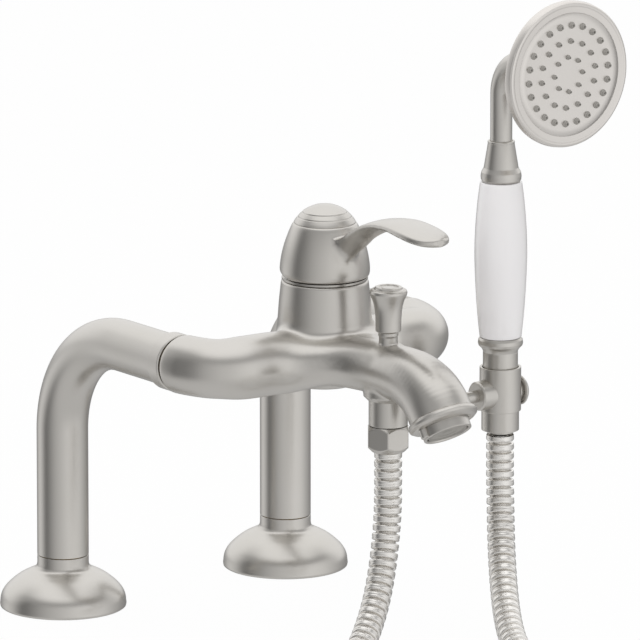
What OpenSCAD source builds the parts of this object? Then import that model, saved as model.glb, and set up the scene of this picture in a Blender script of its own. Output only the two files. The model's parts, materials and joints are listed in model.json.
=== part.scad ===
// Deck-mounted bath shower mixer: two pillar legs, a cast body with spout,
// a lever handle, a diverter, a handset in a cradle and its ribbed hose.
// +Z is up, -Y is towards the bather, X runs along the pair of pillars.
// The origin lies on the deck, midway between the pillar axes.

/* [Legs] */
// Distance between the pillar axes
inlet_centres = 150; // [140:1:160]
// Outer diameter of the leg tube
leg_d = 28; // [24:0.5:30]
// Wall of the leg tube
leg_wall = 1.6; // [1.2:0.1:2]
// Height of the leg's level run and of the body's arms
run_z = 155.5; // [140:0.5:180]
// Bend radius of the leg's elbow, at its centreline
elbow_r = 57; // [40:1:60]
// Distance from the pillar axes to the faces of the body
coupling_y = 96.5; // [90:0.5:110]
// Outer diameter of the coupling ring
ring_d = 31; // [30:0.5:34]
// Length of the coupling ring
ring_len = 9.5; // [7:0.5:12]

/* [Deck flanges] */
// Diameter of the flange where it meets the deck
flange_d = 69; // [60:1:80]
// Height of the flange up to the leg tube
flange_h = 25; // [23:0.5:30]
// Bore of the inlet union, for a half-inch tail
inlet_bore_d = 18.6; // [17:0.1:19.5]
// Depth of the inlet bore
inlet_depth = 14; // [10:0.5:17]

/* [Body] */
// Diameter of the body's arms
arm_d = 32; // [30:0.5:34]
// Bend radius of the arms, at the centreline
arm_bend_r = 26; // [22:1:30]
// Distance from the arms' end faces to the line of the valve
arm_run = 41; // [38:0.5:46]
// Depth of the union bores in the arms' ends
socket_depth = 22; // [18:1:24]
// Diameter of the valve barrel at its foot
barrel_d = 50; // [48:0.5:54]
// Diameter of the valve barrel at its top
barrel_top_d = 46.6; // [45:0.2:48]
// Height of the barrel's top above the deck
barrel_top_z = 197; // [190:0.5:205]
// Depth of the barrel below the arms' centreline
barrel_drop = 18; // [16:0.5:22]
// Bore that holds the cartridge
cartridge_d = 35; // [34:0.5:37]
// Depth of the cartridge bore
cartridge_pocket = 34; // [32:1:38]

/* [Spout] */
// Reach of the spout's mouth in front of the valve
spout_reach = 104.7; // [95:0.1:120]
// Drop of the mouth below the arms' centreline
spout_drop = 16.3; // [12:0.1:20]
// Tilt of the mouth's axis from upright
mouth_tilt = 33; // [25:1:40]
// Diameter of the casting at the mouth
mouth_d = 34.6; // [33:0.2:36]
// Diameter of the aerator collar
collar_d = 38.3; // [37:0.1:40]
// Diameter of the aerator housing
aerator_d = 26.5; // [24:0.5:28]

/* [Diverter and shower outlet] */
// Distance of the diverter in front of the valve
diverter_y = 56.5; // [52:0.5:60]
// Rim diameter of the diverter knob
knob_d = 20.4; // [18:0.2:22]
// Height of the diverter knob
knob_h = 24; // [20:0.5:27]
// Diameter of the outlet column
outlet_d = 20.9; // [20:0.1:23]
// Height of the outlet column's lower end above the deck
outlet_z = 127.6; // [124:0.2:130]
// Width across flats of the hose nut
nut_af = 21.5; // [20:0.5:24]
// Height of the hose nut
nut_h = 13.2; // [11:0.2:16]

/* [Lever handle] */
// Diameter of the handle's dome
dome_d = 48.4; // [47:0.2:52]
// Height of the dome, with its cap
dome_h = 38.5; // [34:0.5:44]
// Diameter of the index cap
cap_d = 33; // [28:0.5:35]
// Reach of the lever from the valve axis
lever_reach = 112; // [95:1:125]
// Width of the lever blade
lever_w = 26; // [20:0.5:30]

/* [Cradle] */
// Distance of the handset's axis from the outlet column
cradle_x = 75; // [68:0.5:85]
// Height of the cradle bar above the deck
cradle_z = 134.6; // [132:0.2:136]
// Diameter of the cradle bar
bar_d = 6.4; // [5:0.1:8]
// Outer diameter of the sleeve's upper part
sleeve_d = 22.3; // [22:0.1:25]
// Height of the sleeve
sleeve_h = 34.8; // [30:0.2:40]
// Diameter of the side boss and of the domed cap
boss_d = 15.8; // [13:0.1:17]

/* [Handset] */
// Diameter of the lower ferrule's neck
neck_d = 18.8; // [18:0.1:19.4]
// Length of the porcelain handle
handle_len = 85; // [70:1:100]
// Largest diameter of the porcelain handle
handle_d = 28.2; // [25:0.2:31]
// Diameter of the porcelain handle at its ends
handle_end_d = 22.4; // [21:0.1:24]
// Outer diameter of the swan neck tube
tube_d = 11.8; // [11:0.1:13]
// Bend radius of the swan neck, at its centreline
tube_bend_r = 20; // [17:0.5:23]
// Diameter of the shower head
head_d = 78.6; // [70:0.2:86]
// Distance from the handset's axis to the spray face
head_reach = 59; // [54:0.5:65]
// Height of the head's centre above the deck
head_z = 318; // [305:1:330]

/* [Hose] */
// Outer diameter of the hose
hose_d = 15; // [14.5:0.1:15.2]
// Bore of the hose
hose_bore = 9; // [8:0.5:10]
// Pitch of the hose's ribs along the hanging runs
rib_pitch = 5; // [4.8:0.1:6]
// Depth of the grooves between the ribs
rib_depth = 1.1; // [0.8:0.1:1.3]

/* [Hidden] */
$fn = 64;
// Clearance of parts that slide or turn
fit = 0.1;
// Clearance of static joints
seat = 0.15;
// Gap left between surfaces that pass each other
gap = 0.4;
// Overrun of every cut
over = 1;

leg_r = leg_d / 2;
leg_bore_r = leg_r - leg_wall;
arm_r = arm_d / 2;
half_centres = inlet_centres / 2;
valve_y = coupling_y + arm_run;
outlet_y = valve_y + diverter_y;
barrel_r = barrel_d / 2;
barrel_top_r = barrel_top_d / 2;
dome_r = dome_d / 2;
hose_r = hose_d / 2;

// Turned pieces are drawn as half profiles in [radius, height] pairs
module turned(profile) { rotate_extrude() polygon(profile); }

// Tube or ring between two radii
module ring(outer, inner, length) {
    difference() {
        cylinder(r = outer, h = length);
        translate([0, 0, -over]) cylinder(r = inner, h = length + 2 * over);
    }
}

// Rubber ring of a round section
module o_ring(r, section_r) { rotate_extrude() translate([r, 0]) circle(r = section_r, $fn = 24); }

// Solid through a list of closed rings with equal numbers of points
module loft(rings) {
    n = len(rings[0]);
    last = len(rings) - 1;
    points = [for (r = rings) each r];
    sides = [for (k = [0:last - 1], i = [0:n - 1]) let (j = (i + 1) % n, a = k * n, b = a + n)
        each [[a + i, b + i, a + j], [a + j, b + i, b + j]]];
    caps = [for (i = [1:n - 2]) each [[0, i, i + 1], [last * n, last * n + i + 1, last * n + i]]];
    polyhedron(points, concat(sides, caps), convexity = 6);
}

// Colours of the finishes
nickel = [0.71, 0.69, 0.67];
dark_metal = [0.42, 0.4, 0.38];
brass = [0.72, 0.6, 0.35];
porcelain = [0.93, 0.92, 0.92];
rubber = [0.15, 0.15, 0.15];
plastic = [0.85, 0.85, 0.83];
grey_plastic = [0.55, 0.55, 0.54];
ceramic = [0.9, 0.88, 0.82];

// Legs

foot_lip = 1.2;
flange_wall = 3;
flange_hollow_h = flange_h - 3 * flange_wall;
seal_lift = 0.3;
union_flange_h = 3;
union_r = leg_bore_r - seat;
union_rise = 10;
union_top_z = flange_h + union_rise;
filter_h = 3;
inlet_throat_r = inlet_bore_d * 0.4;
ring_r = ring_d / 2;
// Reach of the union tail into the leg, and into the body
tail_reach = 16;
tail_len = 2 * tail_reach;
tail_r = leg_bore_r - seat;
tail_wall = 2.4;
groove_r = 0.6;
tail_ring_places = [tail_len / 5, tail_len * 4 / 5];
valve_len = 14;

module at_leg(side) { translate([side * half_centres, 0, 0]) children(); }

// Points the drawing along the level run, from the pillar axis towards the body
module along_run(y) { translate([0, -y, run_z]) rotate([90, 0, 0]) children(); }

module leg(side) color(nickel) at_leg(side) {
    difference() {
        leg_path(leg_r, 0);
        leg_path(leg_bore_r, over);
    }
}

// Tube path: upright, elbow, level run
module leg_path(r, extra) {
    translate([0, 0, flange_h + seat - extra]) cylinder(r = r, h = run_z - elbow_r - flange_h - seat + extra);
    translate([0, -elbow_r, run_z - elbow_r]) rotate([90, 0, 90])
        rotate_extrude(angle = 90) translate([elbow_r, 0]) circle(r = r);
    along_run(elbow_r) cylinder(r = r, h = coupling_y - elbow_r - gap + extra);
}

module coupling_ring(side) color(nickel) at_leg(side) along_run(coupling_y - ring_len) difference() {
    turned([[leg_r + fit, 0], [ring_r - gap, 0], [ring_r, gap], [ring_r, ring_len - 2 * gap],
        [ring_r - gap, ring_len - gap], [leg_r + fit, ring_len - gap]]);
}

// Tail that joins the leg's bore to the body's, with two rubber rings
module union_tail(side) color(brass) at_leg(side) along_run(coupling_y - tail_len / 2) difference() {
    ring(tail_r, tail_r - tail_wall, tail_len);
    for (z = tail_ring_places) translate([0, 0, z]) rotate_extrude()
        translate([tail_r - groove_r + fit, 0]) circle(r = groove_r + fit, $fn = 24);
}

module coupling_seals() color(rubber) for (side = [-1, 1], z = tail_ring_places)
    at_leg(side) along_run(coupling_y - tail_len / 2 + z) o_ring(tail_r - groove_r + fit, groove_r);

// Check valve cartridge in the level run of a leg
module check_valve(side) color(plastic) at_leg(side)
    along_run(coupling_y - tail_len / 2 - valve_len - gap) difference() {
        turned([[0, 0], [tail_r - tail_wall, 0], [tail_r - tail_wall, valve_len / 4], [tail_r, valve_len / 3],
            [tail_r, valve_len], [0, valve_len]]);
        translate([0, 0, valve_len / 2]) cylinder(r = tail_r - 2 * tail_wall, h = valve_len);
        for (i = [0:3]) rotate([0, 0, 90 * i]) translate([tail_r / 2, 0, -over])
            cylinder(r = tail_wall, h = valve_len, $fn = 24);
    }

// Bell flange: share of its overhang at each share of its height
flange_shares = [[1, 0.06], [0.985, 0.15], [0.956, 0.252], [0.859, 0.408], [0.673, 0.564], [0.463, 0.68],
    [0.239, 0.764], [0.073, 0.84], [0.005, 0.888], [0, 0.92], [0, 1]];
module flange(side) color(nickel) at_leg(side) difference() {
    R = flange_d / 2;
    turned(concat([[0, 0], [R - foot_lip, 0], [R - foot_lip / 4, foot_lip / 2]],
        [for (s = flange_shares) [leg_r + s[0] * (R - leg_r), s[1] * flange_h]], [[0, flange_h]]));
    // Hollow underside, round the inlet union
    translate([0, 0, -over]) cylinder(r = union_r + seat, h = flange_h + 2 * over);
    turned([[0, -over], [R - 2 * flange_wall, -over], [R - 2 * flange_wall, flange_wall],
        [leg_r + flange_wall, flange_hollow_h], [0, flange_hollow_h]]);
}

// Inlet union: threaded socket from below, spigot up into the leg
module inlet_union(side) color(brass) at_leg(side) difference() {
    union() {
        cylinder(r = union_r, h = union_top_z);
        cylinder(r = leg_r + flange_wall - seat, h = union_flange_h);
    }
    translate([0, 0, -over]) cylinder(d = inlet_bore_d, h = inlet_depth + over);
    cylinder(r = inlet_throat_r, h = union_top_z + over);
}

// Strainer in the throat above each inlet socket
module inlet_strainers() color(dark_metal) for (side = [-1, 1]) at_leg(side)
    translate([0, 0, inlet_depth + filter_h]) difference() {
        cylinder(r = inlet_throat_r - seat, h = filter_h);
        for (i = [0:5]) rotate([0, 0, 60 * i]) translate([inlet_throat_r * 0.62, 0, -over])
            cylinder(r = inlet_throat_r * 0.16, h = filter_h + 2 * over, $fn = 16);
    }

// Rubber ring under each flange
module deck_seals() color(rubber) for (side = [-1, 1]) at_leg(side) translate([0, 0, seal_lift])
    ring(flange_d / 2 - 2 * flange_wall - seat, flange_d / 2 - 3 * flange_wall, flange_wall / 2);

// Body

spout_z = run_z;
// Stations of the spout from the valve axis to its mouth: share of the reach,
// share of the drop, share of the mouth's tilt, half width and half height
// as shares of the mouth's radius
spout_shares = [
    [0.10, 0.00, 0.00, 0.94, 0.83],
    [0.19, -0.03, 0.00, 0.94, 0.82],
    [0.38, -0.09, 0.00, 0.94, 0.81],
    [0.54, -0.13, 0.00, 0.94, 0.81],
    [0.66, -0.13, 0.05, 0.94, 0.84],
    [0.72, -0.10, 0.12, 0.94, 0.86],
    [0.77, -0.05, 0.23, 0.945, 0.885],
    [0.82, 0.04, 0.36, 0.95, 0.91],
    [0.87, 0.17, 0.52, 0.96, 0.94],
    [0.91, 0.34, 0.68, 0.975, 0.965],
    [0.94, 0.51, 0.81, 0.985, 0.98]
];
spout_sides = 24;
mouth_r = mouth_d / 2;
function spout_ring(s) = let (
        y = s[0] * spout_reach, z = -s[1] * spout_drop,
        down = s[2] * (90 - mouth_tilt), w = s[3] * mouth_r, h = s[4] * mouth_r)
    [for (i = [0:spout_sides - 1]) let (a = 360 * i / spout_sides, u = w * cos(a), v = h * sin(a))
        [u, -(valve_y + y) - v * sin(down), spout_z + z + v * cos(down)]];
// Round end face of the casting, square to the mouth's axis
function end_ring(back) = [for (i = [0:spout_sides - 1]) let (a = 360 * i / spout_sides)
    [mouth_r * cos(a),
     -(valve_y + spout_reach) + back * sin(mouth_tilt) - mouth_r * sin(a) * cos(mouth_tilt),
     spout_z - spout_drop + back * cos(mouth_tilt) + mouth_r * sin(a) * sin(mouth_tilt)]];

// Moves a drawing to the mouth, its axis pointing out of it
module at_mouth(z = 0) translate([0, -(valve_y + spout_reach), spout_z - spout_drop])
    rotate([180 - mouth_tilt, 0, 0]) translate([0, 0, z]) children();

module arm(side) {
    straight = arm_run - arm_bend_r;
    at_leg(side) along_run(coupling_y) cylinder(r = arm_r, h = straight);
    translate([side * (half_centres - arm_bend_r), -(coupling_y + straight), run_z])
        rotate([0, 0, side > 0 ? -90 : 180]) rotate_extrude(angle = 90)
            translate([arm_bend_r, 0]) circle(r = arm_r);
    translate([0, -valve_y, run_z]) rotate([0, side * 90, 0])
        cylinder(r = arm_r, h = half_centres - arm_bend_r);
}

barrel_flare = 4;
boss_r = 13.2;
boss_z = 141.5;
boss_chamfer = 2;
collar_len = 5.5;
module body_mass() {
    for (side = [-1, 1]) arm(side);
    // Valve barrel with a rounded underside and a flare above the arms
    translate([0, -valve_y, 0]) turned([
        [0, run_z - barrel_drop], [barrel_r * 0.62, run_z - barrel_drop],
        [barrel_r * 0.84, run_z - barrel_drop + barrel_flare * 0.6],
        [barrel_r, run_z - barrel_drop + barrel_flare * 2],
        [barrel_r + barrel_flare * 0.7, run_z - barrel_flare],
        [barrel_r + barrel_flare * 0.7, run_z + arm_r * 0.5],
        [barrel_r + barrel_flare * 0.25, run_z + arm_r * 0.85],
        [barrel_r, run_z + arm_r * 1.25], [barrel_top_r, barrel_top_z], [0, barrel_top_z]]);
    loft(concat([for (s = spout_shares) spout_ring(s)], [end_ring(collar_len / 2 + seat)]));
    // Boss of the shower outlet under the spout
    translate([0, -outlet_y, 0]) turned([[0, boss_z], [boss_r - boss_chamfer, boss_z],
        [boss_r, boss_z + boss_chamfer], [boss_r, spout_z], [0, spout_z]]);
}

outlet_spigot = 6;
outlet_spigot_r = 8.6;
union_bore_r = tail_r + seat;
water_r = 7;
bush_r = 7.4;
bush_depth = 12.5;
spout_top_rise = 15.6;
spout_top_z = run_z + spout_top_rise;
outlet_r = outlet_d / 2;
housing_r = aerator_d / 2;
throat_step = 1.2;
throat_r = housing_r - throat_step;
throat_depth = 12;
nut_pocket = 9;
nut_seat_r = 20.4;

module mixer_body() color(nickel) difference() {
    body_mass();
    // Union bores and waterways of the arms
    for (side = [-1, 1]) at_leg(side) along_run(coupling_y - over) {
        cylinder(r = union_bore_r, h = socket_depth + over);
    }
    // Cartridge bore
    translate([0, -valve_y, barrel_top_z - cartridge_pocket])
        cylinder(d = cartridge_d + 2 * fit, h = cartridge_pocket + over);
    translate([0, -valve_y, barrel_top_z - nut_pocket]) cylinder(r = nut_seat_r + fit, h = nut_pocket + over);
    // Diverter bore, through to the shower outlet
    translate([0, -outlet_y, boss_z - over]) cylinder(r = water_r, h = spout_top_z - boss_z + 2 * over);
    translate([0, -outlet_y, spout_top_z - bush_depth]) cylinder(r = bush_r + seat, h = bush_depth + 4 * over);
    translate([0, -outlet_y, boss_z - over])
        cylinder(r = outlet_spigot_r + seat, h = outlet_spigot + over + seat);
    translate([0, -outlet_y, boss_z - 4 * over]) cylinder(r = outlet_r + seat, h = 4 * over);
    // Throat of the mouth
    at_mouth(-throat_depth - over) cylinder(r = throat_r + seat, h = throat_depth + 4 * over);
}

// Cartridge and its nut

cartridge_r = cartridge_d / 2;
cartridge_z = barrel_top_z - cartridge_pocket;
cartridge_body_h = 24;
disc_h = 3;
seal_h = 5;
cup_wall = 3;
cup_r = cartridge_r - cup_wall;
port_x = cartridge_r / 2.4;
port_r = 3.6;
port_seal_r = 2.2;
disc_port_r = 3;
mixed_port_r = 2.6;
mixing_pocket_r = 5;
stem_w = 9;
stem_r = 7.2;
stem_base_h = 4;
stem_rise = 3.4;
stem_room = 1.6;
nut_room = 4.4;
dome_wall = 3.4;
lever_tip = 12;
trunnion_r = 2.6;

module at_valve(z = 0) translate([0, -valve_y, z]) children();

module cartridge_body() color(plastic) at_valve(cartridge_z) difference() {
    cylinder(r = cartridge_r - fit, h = cartridge_body_h);
    // Room for the two discs and the stem's foot
    translate([0, 0, seal_h]) cylinder(r = cup_r, h = 2 * disc_h + stem_base_h + 3 * seat);
    cylinder(r = stem_r + stem_room, h = cartridge_body_h + over);
    for (x = [-1, 1]) translate([x * port_x, 0, -over]) cylinder(r = port_r, h = seal_h + 2 * over);
}

module cartridge_seals() color(rubber) at_valve(cartridge_z + gap / 2)
    for (x = [-1, 1]) translate([x * port_x, 0, 0]) ring(port_r - 2 * fit, port_seal_r, seal_h - gap);

module fixed_disc() color(ceramic) at_valve(cartridge_z + seal_h + seat) difference() {
    cylinder(r = cup_r - seat, h = disc_h - seat);
    for (x = [-1, 1]) translate([x * port_x, 0, -over]) cylinder(r = disc_port_r, h = disc_h + over * 2);
    translate([0, port_x, -over]) cylinder(r = mixed_port_r, h = disc_h + over * 2);
}

module moving_disc() color(ceramic) at_valve(cartridge_z + seal_h + disc_h + seat) difference() {
    cylinder(r = cup_r - 3 * fit, h = disc_h - seat);
    translate([0, 0, -over]) cylinder(r = mixing_pocket_r, h = disc_h / 2 + over);
}

// Foot of the stem, which turns with the temperature
module cartridge_stem() color(plastic) at_valve(cartridge_z + seal_h + 2 * disc_h + seat) {
    cylinder(r = cup_r - 3 * fit, h = stem_base_h - seat);
    cylinder(r = stem_r, h = stem_base_h + stem_rise);
}

module cartridge_nut() color(brass) at_valve(cartridge_z + cartridge_body_h + seat) difference() {
    h = cartridge_pocket - cartridge_body_h - seat;
    union() {
        cylinder(r = cartridge_r - fit, h = h);
        translate([0, 0, h - nut_pocket + seat]) cylinder(r = nut_seat_r, h = nut_pocket - seat);
    }
    translate([0, 0, -over]) cylinder(r = stem_r + nut_room, h = h + 2 * over);
}

// Ring seen in the gap under the handle, and the spherical cover that the dome
// slides over as it tips
ring_h = 1.05;
ring_inset = 0.8;
pivot_drop = 1.5;
lever_pivot_z = barrel_top_z - pivot_drop;
cover_r = dome_r - dome_wall - 3 * fit;
cover_h = 6.5;
module cover_ring() color(dark_metal) at_valve(barrel_top_z + seat) {
    base = barrel_top_z + seat - lever_pivot_z;
    hole = stem_r + stem_room;
    steps = 5;
    turned(concat([[hole, 0], [barrel_top_r - ring_inset, 0], [barrel_top_r - ring_inset, ring_h]],
        [for (i = [0:steps]) let (z = ring_h + (cover_h - ring_h) * i / steps)
            [sqrt(pow(cover_r, 2) - pow(base + z, 2)), z]],
        [[hole, cover_h]]));
}

// Lever handle

dome_base_z = barrel_top_z + seat + ring_h + gap;
cap_r = cap_d / 2;
cap_seam_z = dome_base_z + dome_h * 0.765;
cap_ledge = 2;
cap_seat = 3;
cap_seat_r = 11;
screw_r = 3;
hollow_h = dome_h * 0.3;
stem_seat_h = dome_h * 0.12;
// Outline of the dome: share of its radius at each share of its height
dome_radius_shares = [0.93, 1.00, 0.985, 0.965, 0.935, 0.895, 0.835, 0.755, 0.69];
dome_height_shares = [0, 0.085, 0.20, 0.30, 0.40, 0.50, 0.60, 0.70, 0.765];

// Stations of the blade: share of its reach, height of its edges as a share
// of the dome's height, half width share, crown share and depth share
blade_shares = [
    [0.10, 0.46, 0.48, 0.35, 0.60],
    [0.19, 0.52, 0.50, 0.42, 1.00],
    [0.27, 0.66, 0.54, 0.44, 1.00],
    [0.36, 0.83, 0.62, 0.42, 0.72],
    [0.46, 0.935, 0.74, 0.38, 0.42],
    [0.58, 0.985, 0.88, 0.36, 0.20],
    [0.70, 0.985, 0.97, 0.34, 0.13],
    [0.80, 0.965, 1.00, 0.30, 0.11],
    [0.88, 0.95, 0.94, 0.24, 0.10],
    [0.94, 0.945, 0.78, 0.17, 0.09],
    [0.98, 0.945, 0.52, 0.11, 0.08],
    [1.00, 0.945, 0.22, 0.06, 0.06]
];
blade_crown = 10;
blade_depth = 17;
blade_sides = 20;
function blade_ring(s) = let (
        y = s[0] * lever_reach, z = dome_base_z + s[1] * dome_h, w = s[2] * lever_w / 2)
    [for (i = [0:blade_sides - 1]) let (a = 360 * i / blade_sides)
        [w * cos(a), -(valve_y + y),
         z + (sin(a) > 0 ? s[3] * blade_crown * sin(a) : s[4] * blade_depth * sin(a))]];

module lever_handle() color(nickel) difference() {
    union() {
        at_valve(dome_base_z) turned(concat([[0, 0]],
            [for (i = [0:len(dome_radius_shares) - 1])
                [dome_radius_shares[i] * dome_r, dome_height_shares[i] * dome_h]],
            [[cap_r - cap_ledge, cap_seam_z - dome_base_z], [0, cap_seam_z - dome_base_z]]));
        loft([for (s = blade_shares) blade_ring(s)]);
    }
    // Hollow of the dome, which clears the ring and nut below as it tips
    at_valve(dome_base_z - over) cylinder(r = dome_r - dome_wall, h = over + hollow_h);
    at_valve(dome_base_z + hollow_h - over / 2) cylinder(r = stem_w + over, h = stem_seat_h);
    // Relief of the skirt behind the axis, which lets the lever tip
    at_valve(lever_pivot_z) rotate([lever_tip, 0, 0]) translate([-dome_r, 0, -dome_h])
        cube([dome_d, dome_d, dome_h + dome_base_z - gap / 2 - lever_pivot_z]);
    // Bore for the screw, and the seat of the cap
    at_valve(dome_base_z) cylinder(r = screw_r + seat, h = dome_h);
    at_valve(cap_seam_z - cap_seat) cylinder(r = cap_seat_r + seat, h = cap_seat + over);
}

// Upper stem on which the lever sits, tipped with it
neck_stem_r = 4.4;
lever_stem_z = cartridge_z + seal_h + 2 * disc_h + stem_base_h + stem_rise + 3 * gap;
module lever_stem() color(brass) at_valve() difference() {
    union() {
        translate([0, 0, lever_stem_z]) cylinder(r = neck_stem_r, h = dome_base_z + hollow_h - lever_stem_z);
        translate([0, 0, dome_base_z + dome_h * 0.2]) cylinder(r = stem_w, h = dome_h * 0.1 - seat);
        // Trunnion on which the lever tips
        translate([-stem_r, 0, lever_pivot_z]) rotate([0, 90, 0]) cylinder(r = trunnion_r, h = 2 * stem_r);
    }
    translate([0, 0, dome_base_z]) cylinder(r = screw_r * 0.8, h = dome_h);
}

module lever_screw() color(dark_metal) at_valve() {
    translate([0, 0, dome_base_z + gap]) cylinder(r = screw_r * 0.8 - seat, h = dome_h * 0.6);
    translate([0, 0, dome_base_z + dome_h * 0.45]) difference() {
        cylinder(r = screw_r, h = screw_r * 1.4);
        translate([0, 0, screw_r * 0.7]) cylinder(r = screw_r * 0.55, h = screw_r, $fn = 6);
    }
}

// Index cap: two stepped rings and a shallow dome
module index_cap() color(nickel) at_valve() union() {
    rise = dome_base_z + dome_h - cap_seam_z;
    translate([0, 0, cap_seam_z + seat]) turned([[0, 0], [cap_r, 0], [cap_r * 0.985, rise * 0.12],
        [cap_r * 0.86, rise * 0.33], [cap_r * 0.83, rise * 0.33], [cap_r * 0.81, rise * 0.45],
        [cap_r * 0.72, rise * 0.58], [cap_r * 0.66, rise * 0.6], [cap_r * 0.64, rise * 0.7],
        [cap_r * 0.52, rise * 0.84], [cap_r * 0.34, rise * 0.94], [cap_r * 0.16, rise * 0.99], [0, rise]]);
    translate([0, 0, cap_seam_z - cap_seat + seat]) cylinder(r = cap_seat_r, h = cap_seat);
}

// Diverter

knob_r = knob_d / 2;
// Height of the bush that shows between the spout and the knob
bush_show = 7.5;
knob_z = spout_top_z + bush_show;
spindle_r = 2.4;
spindle_flange_h = 2;
spindle_lip = 0.7;
stem_top_r = 5.3;
spring_r = 4.2;
spring_room = 1;
spring_wire = 0.5;
spring_turns = 5;
seat_rise = 2.4;
valve_seal_h = 1.8;
valve_seal_room = 0.8;
valve_seat_z = boss_z + outlet_spigot + seat_rise;

module at_outlet(z = 0) translate([0, -outlet_y, z]) children();

// Outline of the knob: share of its radius at each share of its height
knob_shares = [[0.62, 0], [0.67, 0.03], [0.67, 0.14], [0.68, 0.31], [0.71, 0.47], [0.76, 0.6], [0.85, 0.72],
    [0.96, 0.82], [1, 0.88], [0.97, 0.93], [0.89, 0.955], [0.75, 0.965], [0.72, 0.99], [0.64, 1], [0.5, 0.99],
    [0.48, 0.965], [0.34, 0.965], [0.3, 0.98], [0, 0.985]];
module diverter_knob() color(nickel) at_outlet(knob_z) difference() {
    turned(concat([[0, 0]], [for (s = knob_shares) [s[0] * knob_r, s[1] * knob_h]]));
    translate([0, 0, -over]) cylinder(r = spindle_r + seat, h = knob_h * 0.6 + over);
}

// Bush screwed into the spout, round the spindle
module diverter_bush() color(nickel) at_outlet() difference() {
    union() {
        translate([0, 0, spout_top_z - bush_depth + seat]) cylinder(r = bush_r, h = bush_depth - 2 * seat);
        translate([0, 0, spout_top_z - over]) cylinder(r = stem_top_r, h = knob_z - spout_top_z + over - seat);
    }
    translate([0, 0, spout_top_z - bush_depth - over]) cylinder(r = spindle_r + fit, h = knob_h + bush_depth);
    translate([0, 0, spout_top_z - bush_depth - over])
        cylinder(r = spring_r + spring_room, h = bush_depth - over);
}

module diverter_spindle() color(brass) at_outlet(valve_seat_z) {
    cylinder(r = spindle_r, h = knob_z + knob_h * 0.6 - valve_seat_z - gap);
    cylinder(r = spring_r + spindle_lip, h = spindle_flange_h);
}

module diverter_seal() color(rubber) at_outlet(valve_seat_z - valve_seal_h)
    cylinder(r = water_r - valve_seal_room, h = valve_seal_h - fit);

// Return spring between the spindle's flange and the bush
spring_z0 = valve_seat_z + spindle_flange_h + spring_wire + fit;
spring_z1 = spout_top_z - 2 * over - spring_wire - gap;
module diverter_spring() color(dark_metal) at_outlet() {
    steps = 8 * spring_turns;
    loft([for (k = [0:steps]) let (a = 360 * k / 8, z = spring_z0 + (spring_z1 - spring_z0) * k / steps)
        [for (i = [0:5]) let (b = 60 * i) [(spring_r + spring_wire * cos(b)) * cos(a),
            (spring_r + spring_wire * cos(b)) * sin(a), z + spring_wire * sin(b)]]]);
}

// Shower outlet

thread_r = 8.6;
outlet_wall = 1.5;
bar_socket = 3.4;
bar_thread_d = bar_d - 2 * gap;
module shower_outlet() color(nickel) at_outlet() difference() {
    union() {
        translate([0, 0, outlet_z]) cylinder(r = outlet_r, h = boss_z - outlet_z - seat);
        translate([0, 0, outlet_z]) cylinder(r = outlet_spigot_r, h = boss_z + outlet_spigot - outlet_z);
        // Threaded end for the hose nut
        translate([0, 0, outlet_z - nut_h * 0.6]) cylinder(r = thread_r, h = nut_h);
    }
    translate([0, 0, outlet_z - nut_h]) cylinder(r = water_r - outlet_wall, h = boss_z);
    // Tapped hole for the cradle bar
    translate([outlet_r - bar_socket, 0, cradle_z]) rotate([0, 90, 0])
        cylinder(d = bar_thread_d + 2 * fit, h = bar_socket + over);
}

nut_r = nut_af / 2 / cos(30);
nut_turn = -6.6;
nut_chamfer = 2.6;
hose_play = 0.8;
module hose_nut() color(nickel) at_outlet(outlet_z - nut_h - seat) difference() {
    intersection() {
        rotate([0, 0, nut_turn]) cylinder(r = nut_r, h = nut_h, $fn = 6);
        turned([[0, 0], [nut_r - nut_chamfer, 0], [nut_r + nut_chamfer, 2 * nut_chamfer],
            [nut_r + nut_chamfer, nut_h - nut_chamfer], [nut_r - nut_chamfer / 3, nut_h], [0, nut_h]]);
    }
    translate([0, 0, nut_h * 0.25]) cylinder(r = thread_r + fit, h = nut_h);
    translate([0, 0, -over]) cylinder(r = hose_bore / 2 + hose_play, h = nut_h);
}

module outlet_washer() color(rubber) at_outlet(outlet_z - nut_h * 0.75 - seat + fit)
    ring(thread_r - gap, hose_bore / 2, nut_h * 0.15 - 2 * fit);

// Aerator

// Outline of the collar: share of its rim at each share of its length
collar_shares = [[0.88, 0.12], [0.99, 0.4], [1, 0.5], [0.95, 0.66], [0.74, 0.86], [0.3, 1]];
module aerator_collar() color(nickel) at_mouth(-collar_len / 2) difference() {
    rim = collar_d / 2 - housing_r;
    turned(concat([[throat_r, 0], [mouth_r, 0]],
        [for (s = collar_shares) [housing_r + s[0] * rim, s[1] * collar_len]], [[throat_r, collar_len]]));
    translate([0, 0, -over]) cylinder(r = housing_r + seat, h = collar_len + 2 * over);
}

housing_out = 8;
housing_in = throat_depth - over;
housing_wall = 2.1;
housing_chamfer = 0.5;
// Small round key boss on the rim
key_r = 2.4;
key_len = 4.2;
key_inset = 0.6;
key_turn = 120;
insert_r = housing_r - housing_wall;
insert_len = 10;
insert_sink = 0.6;
insert_rim = 1.4;
dish_h = 1.2;
jet_r = 1.3;
jet_share = 0.62;
centre_jet_r = 1.6;
aerator_washer_h = 1.2;
module aerator_housing() color(nickel) at_mouth(-housing_in) difference() {
    union() {
        cylinder(r = throat_r, h = housing_in);
        translate([0, 0, housing_in - collar_len / 2 + seat])
            cylinder(r = housing_r, h = housing_out + collar_len / 2 - seat - housing_chamfer);
        translate([0, 0, housing_in]) cylinder(r = housing_r - housing_chamfer, h = housing_out);
        rotate([0, 0, key_turn]) translate([housing_r - key_inset, 0, housing_in + housing_out - key_len])
            cylinder(r = key_r, h = key_len);
    }
    translate([0, 0, -over]) cylinder(r = insert_r + seat, h = housing_in + housing_out + 2 * over);
}
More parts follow.
